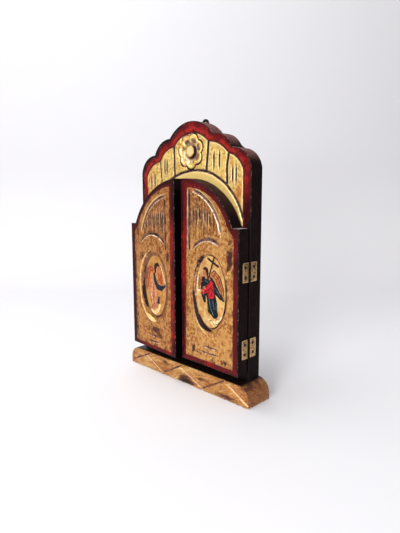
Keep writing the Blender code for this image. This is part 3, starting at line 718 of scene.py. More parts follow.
# ---- The figures painted in the ovals ---------------------------------------------------------
# Generic winged figures, as strokes of a brush; each stroke is a run of (out from the door's inner
# edge, up, half width).
FIGURE_ORDER = ("cloud", "wings", "feathers", "robe", "mantle", "cloak", "skin", "hair", "shine", "ink",
                "flecks")
FIGURES = {
    "right": {
        "cloud": [((43, 84, 1.6), (47, 81.5, 2.4), (52, 81, 2.6), (57, 84, 2.2), (61, 89, 1.4))],
        "wings": [
            ((35, 129, 1.3), (30.5, 126, 2.4), (28.6, 120, 2), (28.3, 115, 0.6)),
            ((46, 130, 2), (51, 133.5, 3.6), (56.5, 128, 4.4), (61, 119, 3.4), (64.6, 107.5, 0.7))],
        "feathers": [
            ((48, 132, 0.35), (54, 127, 0.4), (59, 118, 0.4), (64, 107.5, 0.3)),
            ((51, 134.5, 0.3), (57, 129, 0.4), (61.5, 118, 0.35)),
            ((46, 128.5, 0.35), (51, 124.5, 0.4), (57, 114, 0.35)), ((50, 130, 0.3), (52.5, 134.5, 0.3)),
            ((54, 127.5, 0.3), (57, 132, 0.3)), ((30, 127, 0.3), (29.5, 118, 0.3)),
            ((32.5, 127, 0.3), (31, 120, 0.3))],
        "robe": [
            ((35, 126, 3), (40, 127, 4), (46, 126, 3.8)),
            ((41, 122, 6.4), (46, 110, 6.8), (48.2, 102, 7.2), (48.4, 96, 6.9), (51.8, 90.8, 4.6)),
            ((34.5, 120, 3.8), (34.8, 112, 3.8), (37, 103, 1.8)),
            ((49, 123, 3.8), (55, 114.5, 3.4), (60, 110, 2.4), (64.6, 106.6, 0.6))],
        "cloak": [
            ((46.5, 122.5, 3.2), (45, 117, 5.2), (46.2, 111.5, 4.8), (45, 109.5, 3)),
            ((43, 118, 3.4), (37, 115, 3.4), (34, 112.5, 2.2))],
        "skin": [
            ((37.6, 135.2, 2.75), (37, 132.4, 2.1)), ((38.6, 130.4, 1.5), (39.2, 128.6, 1.7)),
            ((29.2, 116.6, 0.9), (30.8, 114.8, 1), (32.4, 113.4, 1)),
            ((43.2, 128.6, 1.3), (44.4, 127.2, 1.1)), ((36.2, 117.6, 1.2), (37.6, 116.8, 0.9)),
            ((55, 86, 0.9), (53.4, 85.3, 0.8)), ((58, 87.4, 0.9), (57.2, 86.2, 0.8))],
        "hair": [
            ((35.4, 137.4, 1.2), (37.8, 138.5, 1.7), (40.2, 137, 2.1), (41.2, 133.6, 1.8), (40.8, 131, 1.1))],
        "shine": [
            ((43.6, 106, 0.35), (45.5, 97, 0.4), (49.5, 90, 0.3)), ((48.5, 105, 0.3), (51, 96, 0.35)),
            ((34, 118, 0.3), (35.6, 109.5, 0.3)), ((52, 119, 0.3), (59, 111, 0.25)),
            ((37.5, 125.5, 0.3), (41.5, 123.5, 0.3)), ((53.5, 103, 0.3), (54, 96, 0.3))],
        "ink": [
            ((50.6, 150.4, 1.1), (47, 140, 1.05), (42.4, 128.5, 0.9)),
            ((41.4, 149, 1.15), (56.4, 141.8, 1.1)),
            ((46, 134, 0.35), (51, 137.6, 0.45), (57.8, 132, 0.5), (63.6, 120, 0.5), (65.4, 107.2, 0.4)),
            ((28.6, 130.6, 0.3), (27.2, 122, 0.35), (27.8, 114, 0.3)),
            ((47.5, 121, 0.35), (43, 115.5, 0.35), (38, 113.5, 0.3)),
            ((48.5, 117, 0.35), (46.2, 110.5, 0.35)), ((51, 116, 0.3), (49.6, 110, 0.3)),
            ((41, 119.5, 0.3), (37, 117.6, 0.3)),
            ((43.5, 82.4, 0.35), (48, 83.6, 0.3), (50.5, 79.5, 0.3), (56, 81, 0.3), (60, 86, 0.3)),
            ((40.4, 102, 0.4), (40.6, 95, 0.4), (44.5, 88.6, 0.4)), ((36, 134.3, 0.24), (36.7, 134.4, 0.24)),
            ((38, 134.6, 0.24), (38.8, 134.7, 0.24)), ((36.9, 133.9, 0.18), (36.6, 132.9, 0.2)),
            ((36.3, 131.9, 0.2), (37.3, 131.9, 0.2)),
            ((34.6, 135.4, 0.25), (34.5, 132.6, 0.25), (36, 130.4, 0.25))],
        "flecks": [
            ((26.4, 133.5, 0.45), (27.2, 131.6, 0.4)), ((25.4, 130.4, 0.4), (26.8, 128.6, 0.45)),
            ((25.8, 127, 0.45), (26.4, 124.6, 0.4)), ((24.8, 123.4, 0.4), (25.8, 121.6, 0.45)),
            ((25.4, 119.8, 0.45), (24.9, 117.4, 0.4)), ((24.8, 115.6, 0.4), (26.6, 113.4, 0.4)),
            ((27.4, 112.8, 0.35), (30, 114.6, 0.35))],
    },
    "left": {
        "cloud": [((45.5, 79.5, 1.3), (41, 77.2, 2), (36, 77.6, 2.4), (31, 82.5, 2.1), (28.2, 88, 1.2))],
        "wings": [
            ((38, 125, 2), (44.5, 129.5, 3), (50, 126, 4), (52.4, 116, 3.4), (53, 103, 0.8)),
            ((26.5, 125, 1.6), (24.5, 120, 1.9), (23.4, 115, 1))],
        "feathers": [
            ((41, 128, 0.35), (46.5, 126, 0.4), (49.5, 117, 0.35), (51, 106, 0.3)),
            ((44, 130.5, 0.35), (50.5, 127, 0.4), (53.5, 117, 0.3)), ((45, 126, 0.3), (47, 130.5, 0.3)),
            ((47.5, 122, 0.3), (52, 124, 0.3))],
        "robe": [
            ((39, 119, 3.6), (41.5, 109, 5.4), (42.5, 99, 5.8), (41.5, 89, 4.2), (41, 82, 2.4)),
            ((36, 104, 3.8), (36, 92, 3.6), (37.5, 85, 2.4))],
        "cloak": [
            ((38.4, 123, 2), (37, 115.5, 2.6), (32, 109, 3.4), (25.5, 108.2, 3.2), (18.6, 111.6, 1.4)),
            ((30.2, 96.8, 1.4), (30.8, 90.5, 2.2))],
        "mantle": [((30.5, 124.5, 1.8), (27.5, 119, 3), (25, 115, 2.6))],
        "skin": [
            ((32.3, 131.6, 2.6), (31.8, 129, 2)), ((33.4, 127, 1.5), (33.8, 125, 1.5)),
            ((27.6, 122.5, 1), (28.8, 120.5, 0.9)), ((19.6, 114, 1.1), (21, 112.4, 1.1)),
            ((40, 80.6, 0.9), (38.2, 80, 0.8))],
        "hair": [
            ((29.9, 134.2, 1.3), (32.4, 135.6, 2.1), (35.6, 133.8, 2.5), (36.8, 129.8, 2.1),
             (36.2, 126.2, 1.5))],
        "shine": [
            ((42.5, 110, 0.4), (44.5, 98, 0.4), (42.5, 88, 0.35)), ((37.5, 103, 0.35), (37.5, 91, 0.35)),
            ((46, 104, 0.35), (45.5, 96, 0.35))],
        "ink": [
            ((40, 112, 0.3), (41, 99, 0.3), (39.5, 87, 0.3)), ((34.5, 119, 0.3), (30.5, 113.5, 0.3)),
            ((47.5, 108, 0.35), (48.5, 99, 0.35), (44.8, 88, 0.3), (43.5, 81, 0.3)),
            ((33, 103, 0.35), (32.6, 92, 0.3), (36, 84, 0.3)),
            ((42.5, 131.5, 0.35), (48.6, 132.2, 0.4), (54, 126, 0.4), (56, 114, 0.4), (54, 102, 0.35)),
            ((30.8, 131.2, 0.24), (31.4, 131.3, 0.24)), ((32.8, 131.5, 0.24), (33.5, 131.6, 0.24)),
            ((31.4, 130.8, 0.18), (31.2, 129.9, 0.2)), ((31, 128.9, 0.2), (31.9, 128.9, 0.2)),
            ((29.6, 132.2, 0.25), (29.6, 129.4, 0.25), (31.2, 127, 0.25)),
            ((24.5, 124, 0.3), (24, 119, 0.3), (22.6, 114.5, 0.3))],
        "flecks": [
            ((26, 134.2, 0.45), (24.8, 132.2, 0.45)), ((24.4, 131, 0.4), (23.8, 128.8, 0.45)),
            ((23.2, 127.6, 0.45), (22.6, 125.2, 0.4)), ((21.6, 124.2, 0.45), (21.6, 121.6, 0.45)),
            ((20.4, 120.6, 0.4), (19.8, 118.2, 0.45)), ((18.8, 117.4, 0.45), (18, 114.6, 0.4))],
    },
}
FIGURE_PAINTS = {
    "right": {"ground": "DCB674", "wings": ("AE6A3A", "86482A"), "feathers": ("3E1B12", "562616"),
              "robe": ("0B0E12", "141C20"), "cloak": ("BE1E26", "7A111B"), "skin": ("B4744A", "8A5434"),
              "hair": ("24120E", "331B13"), "cloud": ("E2C692", "C8A26A"), "shine": ("6A8C8E", "3A5A5E"),
              "ink": ("1E100D", "2A1611"), "flecks": ("F3EAD8", "DCCBAA")},
    "left": {"ground": "C8924E", "wings": ("B45A2C", "8A3E1F"), "feathers": ("4E2415", "5E2E1A"),
             "robe": ("C0805A", "98583A"), "cloak": ("10141F", "1C2434"), "mantle": ("B05022", "8E3C19"),
             "skin": ("B2704A", "8A5236"), "hair": ("24120E", "331B13"), "cloud": ("E2C590", "C9A26A"),
             "shine": ("DDA872", "C68D58"), "ink": ("2A1511", "371D14"), "flecks": ("F3EAD8", "DCCBAA")},
}


# ---- The carved panels -----------------------------------------------------------------------
def hand_drawn(across, up, seed):
    """The grid's places as a hand would follow them, a little off the true line."""
    sway = 0.3
    return (across + sway * noise_field(across, up, 9.0, seed),
            up + sway * noise_field(across, up, 9.0, seed + 7.3))


def tool_marks(across, up, seed, depth=0.22):
    """A fresh carving: only the shallow facets that the gouge leaves on a flat face."""
    broad = noise_field(across, up, 16.0, seed)
    fine = noise_field(across, up * 0.6, 4.0, seed + 3.1)
    cut = depth * np.clip(0.5 + 0.7 * broad + 0.35 * fine, 0.0, 1.5) / 1.5
    return {"cut": cut, **{layer_name: np.zeros_like(cut) for layer_name in ("wax", "worn", "burnish")}}


def grid(columns, low_rows, waist, shares, top):
    """A panel's grid: level rows up to its waist, and above it rows that rise to meet its top."""
    up = np.concatenate((np.repeat(low_rows[:, None], len(columns), 1),
                         waist + shares[:, None] * (top - waist)[None, :]))
    return np.broadcast_to(columns, up.shape).copy(), up


def tympanum_line():
    """The closed line round the gilded field of the board."""
    half, shoulder = FIELD_SHOULDER
    path = []
    for side, sign in SIDES.items():
        outer = FIELD_CUSPS[side][1][0]
        places = np.concatenate((np.linspace(0, outer, 28),
                                 outer + (half - outer) * np.sin(np.linspace(0, math.pi / 2, 12))))
        heights = lobed_top(places, FIELD_CUSPS[side], (half, shoulder), FIELD_RISES)
        run = [(sign * x, z) for x, z in zip(places, heights)]
        path += run[::-1] if sign < 0 else run[1:]
    return path + [(half, FIELD_FOOT), (-half, FIELD_FOOT), path[0]]


def carve_rosette(carving, across, up):
    """A flower cut in the round: a boss in a sunk ring, hollow petals, a raised scalloped rim and
    a groove that sets it off the ground."""
    x, z = across - ROSETTE[0], up - ROSETTE[1]
    reach = np.hypot(x, z)
    turn = np.arctan2(z, x) - PETAL_PHASE
    petal = np.abs(np.cos(PETALS * turn / 2)) ** 0.7
    outer = PETAL_REACH[0] + (PETAL_REACH[1] - PETAL_REACH[0]) * petal
    rim_width, ring_depth, petal_start = 3.6, 2.5, 9.0
    rim = outer - rim_width
    boss = 0.5 * clamp((reach - BOSS_RADIUS + 1.2) / 1.2) ** 2
    ring = ring_depth * clamp((reach - BOSS_RADIUS) / 0.8)
    rising = clamp((reach - petal_start) / np.maximum(rim - petal_start, 0.5))
    hollow = ring_depth - 1.5 * rising + 0.7 * (1 - petal)
    depth = np.where(reach < BOSS_RADIUS, boss, np.minimum(ring, hollow))
    crest = 0.12 + 1.2 * (2 * clamp((reach - rim) / rim_width) - 1) ** 2
    onto_rim = clamp((reach - rim + 0.8) / 0.8)
    depth = depth * (1 - onto_rim) + crest * onto_rim
    apron = clamp(1.0 - (reach - outer) / 3.4)
    depth = np.where(reach > outer, 1.5 * apron, depth)
    # painted shade: the wax lies thickest on the lower right, and a painted shade darkens the ring round the
    # boss and the rim there
    shaded = (x * math.cos(WAX_AND_SHADE_SIDE) + z * math.sin(WAX_AND_SHADE_SIDE)) / np.maximum(reach, 1e-6)
    # painted highlight: the lower left is cleaner, with pale hollows and a brighter crest
    clean = clamp(-1.4 * (x + z) / np.maximum(reach, 1e-6) - 0.7)
    off_boss = reach - BOSS_RADIUS
    crescent = (0.72 + 0.3 * np.clip(2 * shaded, -0.5, 1)) * clamp(1.8 - off_boss / 1.6)
    near_boss = np.maximum(crescent, 0.42 * clamp(1.9 - off_boss / 3.0)) * (off_boss > -0.4)
    hollow_line = clamp(1.6 - np.abs(reach - 11.8) / 2.2)
    petal_wax_and_shade = 0.68 * (1 - clean) * clamp(1.6 * petal - 0.3) * hollow_line
    creases = 0.6 * clamp(1 - petal * 2.2) * (reach > BOSS_RADIUS) * (reach < rim + 1.5)
    outline = clamp(1.6 - 1.6 * np.abs(reach - outer - 0.8) / 1.6)
    round_rim = outline * np.clip(0.85 + 0.45 * shaded + 0.4 * noise_field(across, up, 6.0, 5.0), 0.36, 1)
    crest_line = clamp(1.5 - 1.5 * np.abs(reach - (rim + outer) / 2) / 1.5)
    deepen(carving, depth, np.maximum.reduce([near_boss, petal_wax_and_shade, creases, round_rim]), clean * hollow_line)
    polish_and_highlight = np.maximum(crest_line * (0.12 + 0.45 * clean), reach < BOSS_RADIUS - 1.5)
    deepen(carving, 0.0, 0.0, polish_and_highlight, "burnish")


def carve_tympanum(carving, hand, across):
    """The line round the field, the arch over the doors, the ribs, the gouges and the flower. Gives
    the distance inside the field, and where its gilding is plain: under the arch, which the closed
    doors cover but for a crescent."""
    line = tympanum_line()
    groove(carving, hand, line, 1.4, 0.9, wax=0.9)
    within = signed_distance(line, *hand)
    # painted highlight: a pale line just inside the field's line, on the right half only
    outer_lip = clamp(1.6 - np.abs(within - 1.8) / 0.5) * clamp(across / 20.0)
    deepen(carving, 0.0, 0.0, 0.8 * outer_lip, "burnish")
    apex, rise = ARCH_APEX
    drop = rise - ARCH_FOOT_HEIGHT
    clean = hand[1] < ARCH_FOOT_HEIGHT
    for end in ARCH_FEET:
        run = abs(end - apex)
        radius = (run * run + drop * drop) / (2 * drop)
        sweep = math.copysign(math.degrees(math.asin(run / radius)), end)
        centre = (apex, rise - radius)
        # the pale lips beside the arch, the ribs and the gouges are polished gold with a painted highlight
        # along one side of each cut
        groove(carving, hand, arc(centre, radius, 90, 90 - sweep), 2.2, 1.6, wax=0.8,
               lip=arc(centre, radius - 2.0, 90, 90 - sweep), share=0.8, rub_and_highlight="burnish")
        below = np.hypot(hand[0] - centre[0], hand[1] - centre[1]) < radius
        clean |= below & (np.sign(hand[0] - apex) == np.sign(end))
    for half_width, path in RIBS:
        groove(carving, hand, path, half_width, 1.6, lip=beside(path, half_width), rub_and_highlight="burnish")
    for place, low, high in TYMPANUM_GOUGES:
        path = [(place, low), (place + 0.3, high)]
        for away in (1.8, -1.8):
            groove(carving, hand, path, 1.6, 1.3, fade=0.3, lip=beside(path, away), rub_and_highlight="burnish")
    carve_rosette(carving, *hand)
    return within, clean.astype(float)


def back_board(finishes):
    near, lobe_end = LOBE_NOTCHES[0][0], LOBE_NOTCHES[1][0]
    half, waist, foot = BOARD_HALF, 165.0, BOARD_BOTTOM
    flower, fine_edge = 21, 3
    columns = stations((-half, -half + fine_edge, 0.3), (-half + fine_edge, -lobe_end, 0.65),
                       (-lobe_end, -near, 0.65), (-near, -flower, 0.6), (-flower, flower, 0.42),
                       (flower, near, 0.6), (near, lobe_end, 0.65), (lobe_end, half - fine_edge, 0.65),
                       (half - fine_edge, half, 0.3))
    top = lobed_top(columns, LOBE_NOTCHES, (half, SHOULDER_HEIGHT), (CROWN_RISE, *LOBE_RISES))
    across, up = grid(columns, stations((foot, foot + 1.2, 0.4), (foot + 1.2, waist, 2.2))[:-1], waist,
                      stations((0.0, 0.985, 0.0052), (0.985, 1.0, 0.003)), top)
    seed = SEEDS["board"]
    hand = hand_drawn(across, up, seed)
    edge = edge_distance(across, up)
    carving = tool_marks(across, up, seed + 1.0)
    within, clean = carve_tympanum(carving, hand, across)
    cut = np.maximum(carving["cut"], eased(edge, 0.8))
    # down the sides from just above the doors' ledges, and round the left half, the lacquer of the
    # edges laps onto the front
    lapped = np.maximum(4.2 * clamp((190.0 - up) / 3.0), 3.2 * clamp((3.0 - across) / 24.0))
    layers = {**carving, "field": within, "edge": edge - lapped, "clean": clean,
              "stain": smudged(*hand, BOARD_STAINS)}
    slab = carved_slab("carved_board", across, up, cut, BOARD_FRONT, BOARD_BACK, layers, {}, finishes)
    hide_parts("back_board")
    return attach(slab, "case")


# arcs are (centre, radius, first and last angle), the stile's cut and the flutes are (in from the
# door's inner edge, foot, top), and the oval and its picture are (centre, half width and height).
# The gold ends at an arch (start, end, rise), a corner and a foot; short cuts are (start, end, up).
DOORS = {
    "right": {
        "arc": ((6.2, 166.7), 54.3, 81, 4), "stile": (13.0, 157, 219), "brow": ((41.4, 139.6), 29.2, 146, 50),
        "flutes": ((19.8, 180, 205), (24.4, 177, 207), (29.4, 184, 207), (33.0, 178, 205), (37.4, 183, 201),
                   (40.6, 176, 203), (44.6, 178, 197)),
        "gold arch": ((10.6, 221.9), (68.4, 182.4), 11.5), "gold corner": (77.3, 172.4),
        "gold foot": ((77.3, 37.2), (7.0, 37.2)),
        "oval": ((43.5, 110.9), (25.3, 43.5)), "picture": ((45.2, 113.6), (21.5, 38.6)),
        "oval wax and shade": ((5, 62, 0.6, 1.2, 0.75), (216, 44, -0.05, 0.6, 1.0), (248, 30, 0.2, 0.9, 1.0),
                     (160, 40, 0.35, 0.75, 0.45), (168, 46, -0.05, 0.25, 0.8), (124, 18, -0.3, 0.7, 0.78),
                     (278, 48, 0.75, 1.2, 0.8)),
        "oval rim polish and highlight": ((238, 28, -0.25, 0.08, 0.85), (110, 20, -0.3, -0.05, 0.4)),
        "cuts": ((31.5, 60.0, 53.3), (24.5, 60.0, 46.5)),
        "stains": ((72.5, 151, 6.5, 15, 1.5), (71, 142, 5, 8, 1.0), (71, 166, 8, 12, 0.5),
                   (64, 175, 5, 5, 0.4), (19, 47, 6, 9, 0.8), (26, 44, 9, 4, 0.7), (66, 42, 9, 6, 0.9),
                   (74, 52, 4, 10, 0.6), (28, 69, 10, 4, 0.6), (68.5, 118, 3, 22, 0.7), (22, 208, 8, 7, 0.5),
                   (2.0, 75, 6, 62, 1.1), (2.0, 190, 5, 60, 0.6), (84, 150, 4, 18, 0.8))},
    "left": {
        "arc": ((9.2, 161.2), 52.8, 86, 6), "stile": (16.6, 155, 208), "brow": ((41.4, 140.3), 30.5, 150, 30),
        "flutes": ((20.8, 168, 203), (24.4, 172, 206), (27.8, 168, 205), (31.6, 168, 203), (35.2, 171, 202),
                   (39.2, 170, 199), (43.0, 172, 196), (47.6, 171, 193), (52.0, 172, 188)),
        "gold arch": ((8.0, 223.5), (66.5, 184.5), 9.5), "gold corner": (76.6, 171.0),
        "gold foot": ((77.6, 35.8), (7.8, 35.8)),
        "oval": ((40.4, 109.0), (28.4, 42.9)), "picture": ((36.5, 109.6), (20.2, 36.2)),
        "oval wax and shade": ((20, 80, 0.24, 1.0, 0.6), (100, 40, 0.5, 0.95, 0.5), (8, 56, 0.4, 0.75, 0.8),
                     (-24, 32, 0.2, 0.85, 0.9), (-76, 52, 0.6, 1.15, 0.82), (180, 80, 0.25, 1.15, 0.5)),
        "oval rim polish and highlight": ((-50, 28, -0.2, 0.12, 0.8), (-78, 24, -0.2, 0.36, 0.95), (14, 76, -0.12, 0.2, 0.68)),
        "cuts": ((26.0, 57.0, 48.5), (26.0, 57.0, 41.0)),
        "stains": ((37, 56, 19, 7, 1.1), (28, 50, 10, 7, 0.7), (12, 147, 6, 11, 0.9), (26, 150, 9, 4, 0.6),
                   (62, 142, 9, 9, 0.6), (80, 115, 8, 78, 1.0), (79, 55, 10, 40, 0.9), (30, 52, 14, 5, 0.8),
                   (34, 217, 16, 4, 0.6), (12, 212, 5, 12, 0.5), (71, 178, 7, 13, 0.7), (2.0, 42, 7, 18, 1.0),
                   (2.0, 140, 6, 13, 0.7))},
}


def bulging(start, end, rise, steps=24):
    """Points along the arc from start to end that bulges up by rise."""
    places = np.linspace(start[0], end[0], steps + 1)
    return list(zip(places, height_on(circle_over(start, end, rise), places)))


def carve_oval(carving, across, up, plan):
    """A channel between two ovals, steep against a sunk and slightly crowned field. Its wax with a painted
    shade, and its polished rim with a painted highlight, are smears along parts of the oval that taper at
    their ends, each as (angle, half its span, start and end across the channel, strength); 0 is its outer
    edge and 1 the picture's."""
    outside = inside_oval(*plan["oval"], across, up)
    picture = inside_oval(*plan["picture"], across, up)
    over = np.clip(outside / np.maximum(outside - picture, 0.3), -0.3, 1)
    valley, deepest, sunk, crown = 0.66, 2.6, 0.7, 0.35
    slope_in = deepest * np.maximum(over / valley, 0) ** 0.9
    slope_out = sunk + (deepest - sunk) * ((1 - over) / (1 - valley)) ** 0.9
    depth = np.where(over < valley, slope_in, slope_out)
    depth = np.where(picture > 0, sunk - crown * clamp(picture / 12.0), depth)
    centre, halves = plan["oval"]
    turn = np.degrees(np.arctan2((up - centre[1]) / halves[1], (across - centre[0]) / halves[0]))
    ragged = noise_field(across, up, 4.2, 9.0)
    smears = {}
    # painted shade and painted highlight: one set of smears darkens parts of the channel with its wax, the
    # other brightens parts of its rim
    for smear in ("oval wax and shade", "oval rim polish and highlight"):
        smears[smear] = np.zeros_like(over)
        for angle, span, start, end, strength in plan[smear]:
            reach = np.abs((turn - angle + 180) % 360 - 180) / span
            narrowed = (end - start) / 2 * clamp(1.6 * (1 - reach)) ** 0.6
            inside = narrowed - np.abs(over - (start + end) / 2) + 0.08 * ragged
            drawn = (strength + 0.12 * ragged) * clamp(inside / 0.1)
            in_channel = (picture < 0.3) & (outside > -1.5)
            smears[smear] = np.maximum(smears[smear], drawn * in_channel)
    deepen(carving, np.where(outside > 0, depth, 0.0), smears["oval wax and shade"], smears["oval rim polish and highlight"], "burnish")
    return picture


def carve_door(carving, hand, up, plan):
    """The arc, the stile's cut, the brow over the oval, the flutes and the short cuts at the foot.
    Gives the distance inside the fluted part."""
    centre, radius, first, last = plan["arc"]
    # the pale lips below the arc and the brow, beside the stile and the flutes, and under the short cuts are
    # wear and polish with a painted highlight
    for lip_radius, share, rub_and_highlight in ((radius - 2.1, 0.9, "worn"), (radius + 2.2, 0.7, "burnish")):
        groove(carving, hand, arc(centre, radius, first, last), 2.4, 1.9, fade=0.12, wax=0.7,
               lip=arc(centre, lip_radius, first, last), share=share, rub_and_highlight=rub_and_highlight)
    stile, foot, head = plan["stile"]
    path = [(stile, foot), (stile, head)]
    groove(carving, hand, path, 2.3, 1.5, wax=0.85, lip=beside(path, -2.0), share=0.4, rub_and_highlight="burnish")
    under_arc = radius - np.hypot(hand[0] - centre[0], hand[1] - centre[1])
    centre, radius, first, last = plan["brow"]
    groove(carving, hand, arc(centre, radius, first, last), 2.6, 2.0, fade=0.16, wax=0.78,
           lip=arc(centre, radius - 2.3, first, last))
    for index, (place, low, high) in enumerate(plan["flutes"]):
        path = [(place, low), (place, high)]
        groove(carving, hand, path, 1.5, 1.3, fade=0.35, lip=beside(path, 1.6 if index % 2 else -1.6),
               share=0.5, rub_and_highlight="burnish")
    for inner, outer, height in plan["cuts"]:
        path = [(inner, height + 0.6), ((inner + outer) / 2, height - 0.4), (outer, height + 0.4)]
        groove(carving, hand, path, 1.3, 0.9, fade=0.3, wax=0.85, lip=beside(path, 0.0, -1.3))
    return np.minimum(under_arc, hand[0] - stile) * clamp((up - FLUTED_FROM) / 8.0)


def door(side, finishes):
    """A carved door, drawn from its inner edge outwards and hung at its angle of rest."""
    plan, seed = DOORS[side], SEEDS[side]
    ledge, waist = DOOR_WIDTH - LEDGE_WIDTH, 172.0
    oval_foot, oval_top = 68.0, 152.0
    columns = stations((0.0, 16.0, 0.5), (16.0, 66.0, 0.37), (66.0, ledge, 0.45), (ledge, DOOR_WIDTH, 0.5))
    arch = circle_over((0.0, DOOR_TOP), (ledge, LEDGE_HEIGHT), ARCH_RISE[side])
    top = np.where(columns < ledge, height_on(arch, columns), LEDGE_HEIGHT)
    rows = stations((DOOR_BOTTOM, oval_foot, 0.75), (oval_foot, oval_top, 0.37), (oval_top, waist, 0.7))
    across, up = grid(columns, rows[:-1], waist, stations((0.0, 1.0, 0.0095)), top)
    hand = hand_drawn(across, up, seed)
    edge = edge_distance(across, up)
    carving = tool_marks(across, up, seed)
    fluted = carve_door(carving, hand, up, plan)
    # the wax has been wiped away here and there
    carving["wax"] *= np.clip(0.92 + 0.5 * noise_field(across, up / 1.6, 6.0, seed + 5.0), 0.6, 1.1)
    picture = carve_oval(carving, *hand, plan)
    cut = np.maximum(carving["cut"], eased(edge, 0.7))
    bound = bulging(*plan["gold arch"]) + [plan["gold corner"], *plan["gold foot"]]
    layers = {**carving, "edge": edge, "picture": picture, "stain": smudged(*hand, plan["stains"]),
              "fluted": fluted, "field": signed_distance(bound + bound[:1], *hand)}
    for shape, strokes in FIGURES[side].items():
        layers[shape] = painted(strokes, *hand)
    inner_border = 9.0
    slab = carved_slab(f"carved_door_{side}", across, up, cut, -SEAM / 2 - DOOR_THICKNESS, -SEAM / 2,
                       layers, {"field": edge - inner_border, "edge": edge}, finishes)
    to_hinge = Matrix.Translation((-(DOOR_WIDTH + PIN_OUT) * MM, 0, 0))
    slab.data.transform(Matrix.Diagonal((SIDES[side], 1, 1, 1)) @ to_hinge)
    if SIDES[side] < 0:
        slab.data.flip_normals()
    slab.data.transform(hung(side, "door"))
    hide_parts(f"door_{side}")
    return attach(slab, f"{side}_door")


def hung(side, wing):
    """Where a piece drawn about its hinge axis sits at rest; only what is on the door is turned."""
    joint = next(j for j in frame["joints"] if j["name"] == f"{side}_door_hinge")
    pin = Matrix.Translation((joint["pos_m"][0], joint["pos_m"][1], 0))
    if wing == "board":
        return pin
    return pin @ Matrix.Rotation(math.radians(SIDES[side] * REST_ANGLE[side]), 4, "Z")


PLINTH_STAINS = ((5, 3, 18, 8, 1.9), (27, 12.5, 9, 3, 1.1), (-30, 17, 6, 3, 1.0), (66, 4, 26, 3.5, 0.9),
                 (-90, 11, 8, 10, 0.7), (93, 19, 9, 6, 0.9), (-52, 4, 9, 3, 0.6), (0, 15, 9, 4, 0.6))


def plinth(finish):
    """The foot: a bar with two round upper corners. Rising cuts, dark with wax and a painted shade, and
    falling ones, painted pale with wear and a painted highlight along their whole line, make a zigzag along
    its front."""
    half, tall = plinth_high.x / MM, plinth_high.z / MM
    corner = 14.0
    rising = (((-92, 5.0), (-60, 20.0)), ((-33, 3.0), (-2, 20.0)), ((33, 3.6), (63, 20.5)))
    falling = (((-66, 16.0), (-36, 2.0)), ((-4.5, 16.8), (29.5, 2.2)), ((67, 18.6), (96, 2.5)))
    round_end = half - corner + corner * np.sin(np.linspace(0, math.pi / 2, 30))
    middle = stations((-(half - corner), half - corner, 0.6))
    columns = np.concatenate((-round_end[:0:-1], middle, round_end[1:]))
    over = np.clip(np.abs(columns) - (half - corner), 0, corner)
    top = tall - corner + np.sqrt(np.maximum(corner ** 2 - over ** 2, 0.0))
    rows = stations((0.0, 0.06, 0.02), (0.06, 0.94, 0.022), (0.94, 1.0, 0.02))
    across, up = grid(columns, np.zeros(0), 0.0, rows, top)
    seed = SEEDS["plinth"]
    hand = hand_drawn(across, up, seed)
    edge = edge_distance(across, up)
    carving = tool_marks(across, up, seed + 2.0, 0.4)
    # painted shade and highlight: the rising cuts hold dark wax, and the falling ones are pale all along, as
    # if lit
    for path in rising:
        groove(carving, hand, path, 1.6, 1.5, wax=0.78, lip=beside(path, 0.6, -1.4), share=0.4)
    for path in falling:
        groove(carving, hand, path, 1.6, 1.5, wax=0.2, lip=path, share=1.0)
    carving["wax"] *= np.clip(0.9 + 0.5 * noise_field(across, up, 7.0, seed + 4.0), 0.5, 1.1)
    rounding = 1.5
    cut = np.maximum(carving["cut"], eased(edge, rounding))
    layers = {**carving, "front": clamp(edge / rounding), "stain": smudged(*hand, PLINTH_STAINS)}
    bar = carved_slab("carved_plinth", across, up, cut, plinth_low.y / MM, plinth_high.y / MM,
                      layers, {}, [finish] * 3)
    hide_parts("plinth")
    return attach(bar, "case")


# ---- Hinges and hanger -----------------------------------------------------------------------
def cut_sheet(name, outlines, thickness, rounding):
    """A mesh of a flat sheet with rounded edges, from closed outlines in mm; it lies in X and Y."""
    curve = bpy.data.curves.new(name, "CURVE")
    curve.dimensions = "2D"
    curve.fill_mode = "BOTH"
    curve.extrude = (thickness / 2 - rounding) * MM
    curve.bevel_depth = rounding * MM
    curve.offset = -rounding * MM
    curve.bevel_resolution = 2
    for outline in outlines:
        spline = curve.splines.new("POLY")
        spline.points.add(len(outline) - 1)
        for point, (x, y) in zip(spline.points, outline):
            point.co = (x * MM, y * MM, 0.0, 1.0)
        spline.use_cyclic_u = True
    holder = in_scene(name, curve)
    mesh = bpy.data.meshes.new_from_object(holder.evaluated_get(bpy.context.evaluated_depsgraph_get()))
    bpy.data.objects.remove(holder)
    form = bmesh.new()
    form.from_mesh(mesh)
    bmesh.ops.remove_doubles(form, verts=form.verts, dist=0.001 * MM)
    bmesh.ops.recalc_face_normals(form, faces=form.faces)
    form.to_mesh(mesh)
    form.free()
    return mesh


def as_piece(name, meshes, finish, place=None):
    """One piece from several meshes, shaded smooth between its sharp edges."""
    form = bmesh.new()
    for mesh in meshes:
        form.from_mesh(mesh)
    joined = mesh_of(name, form)
    joined.materials.append(finish)
    if place is not None:
        joined.transform(place)
    joined.shade_smooth()
    joined.set_sharp_from_angle(angle=math.radians(38))
    piece = in_scene(name, joined)
    return piece


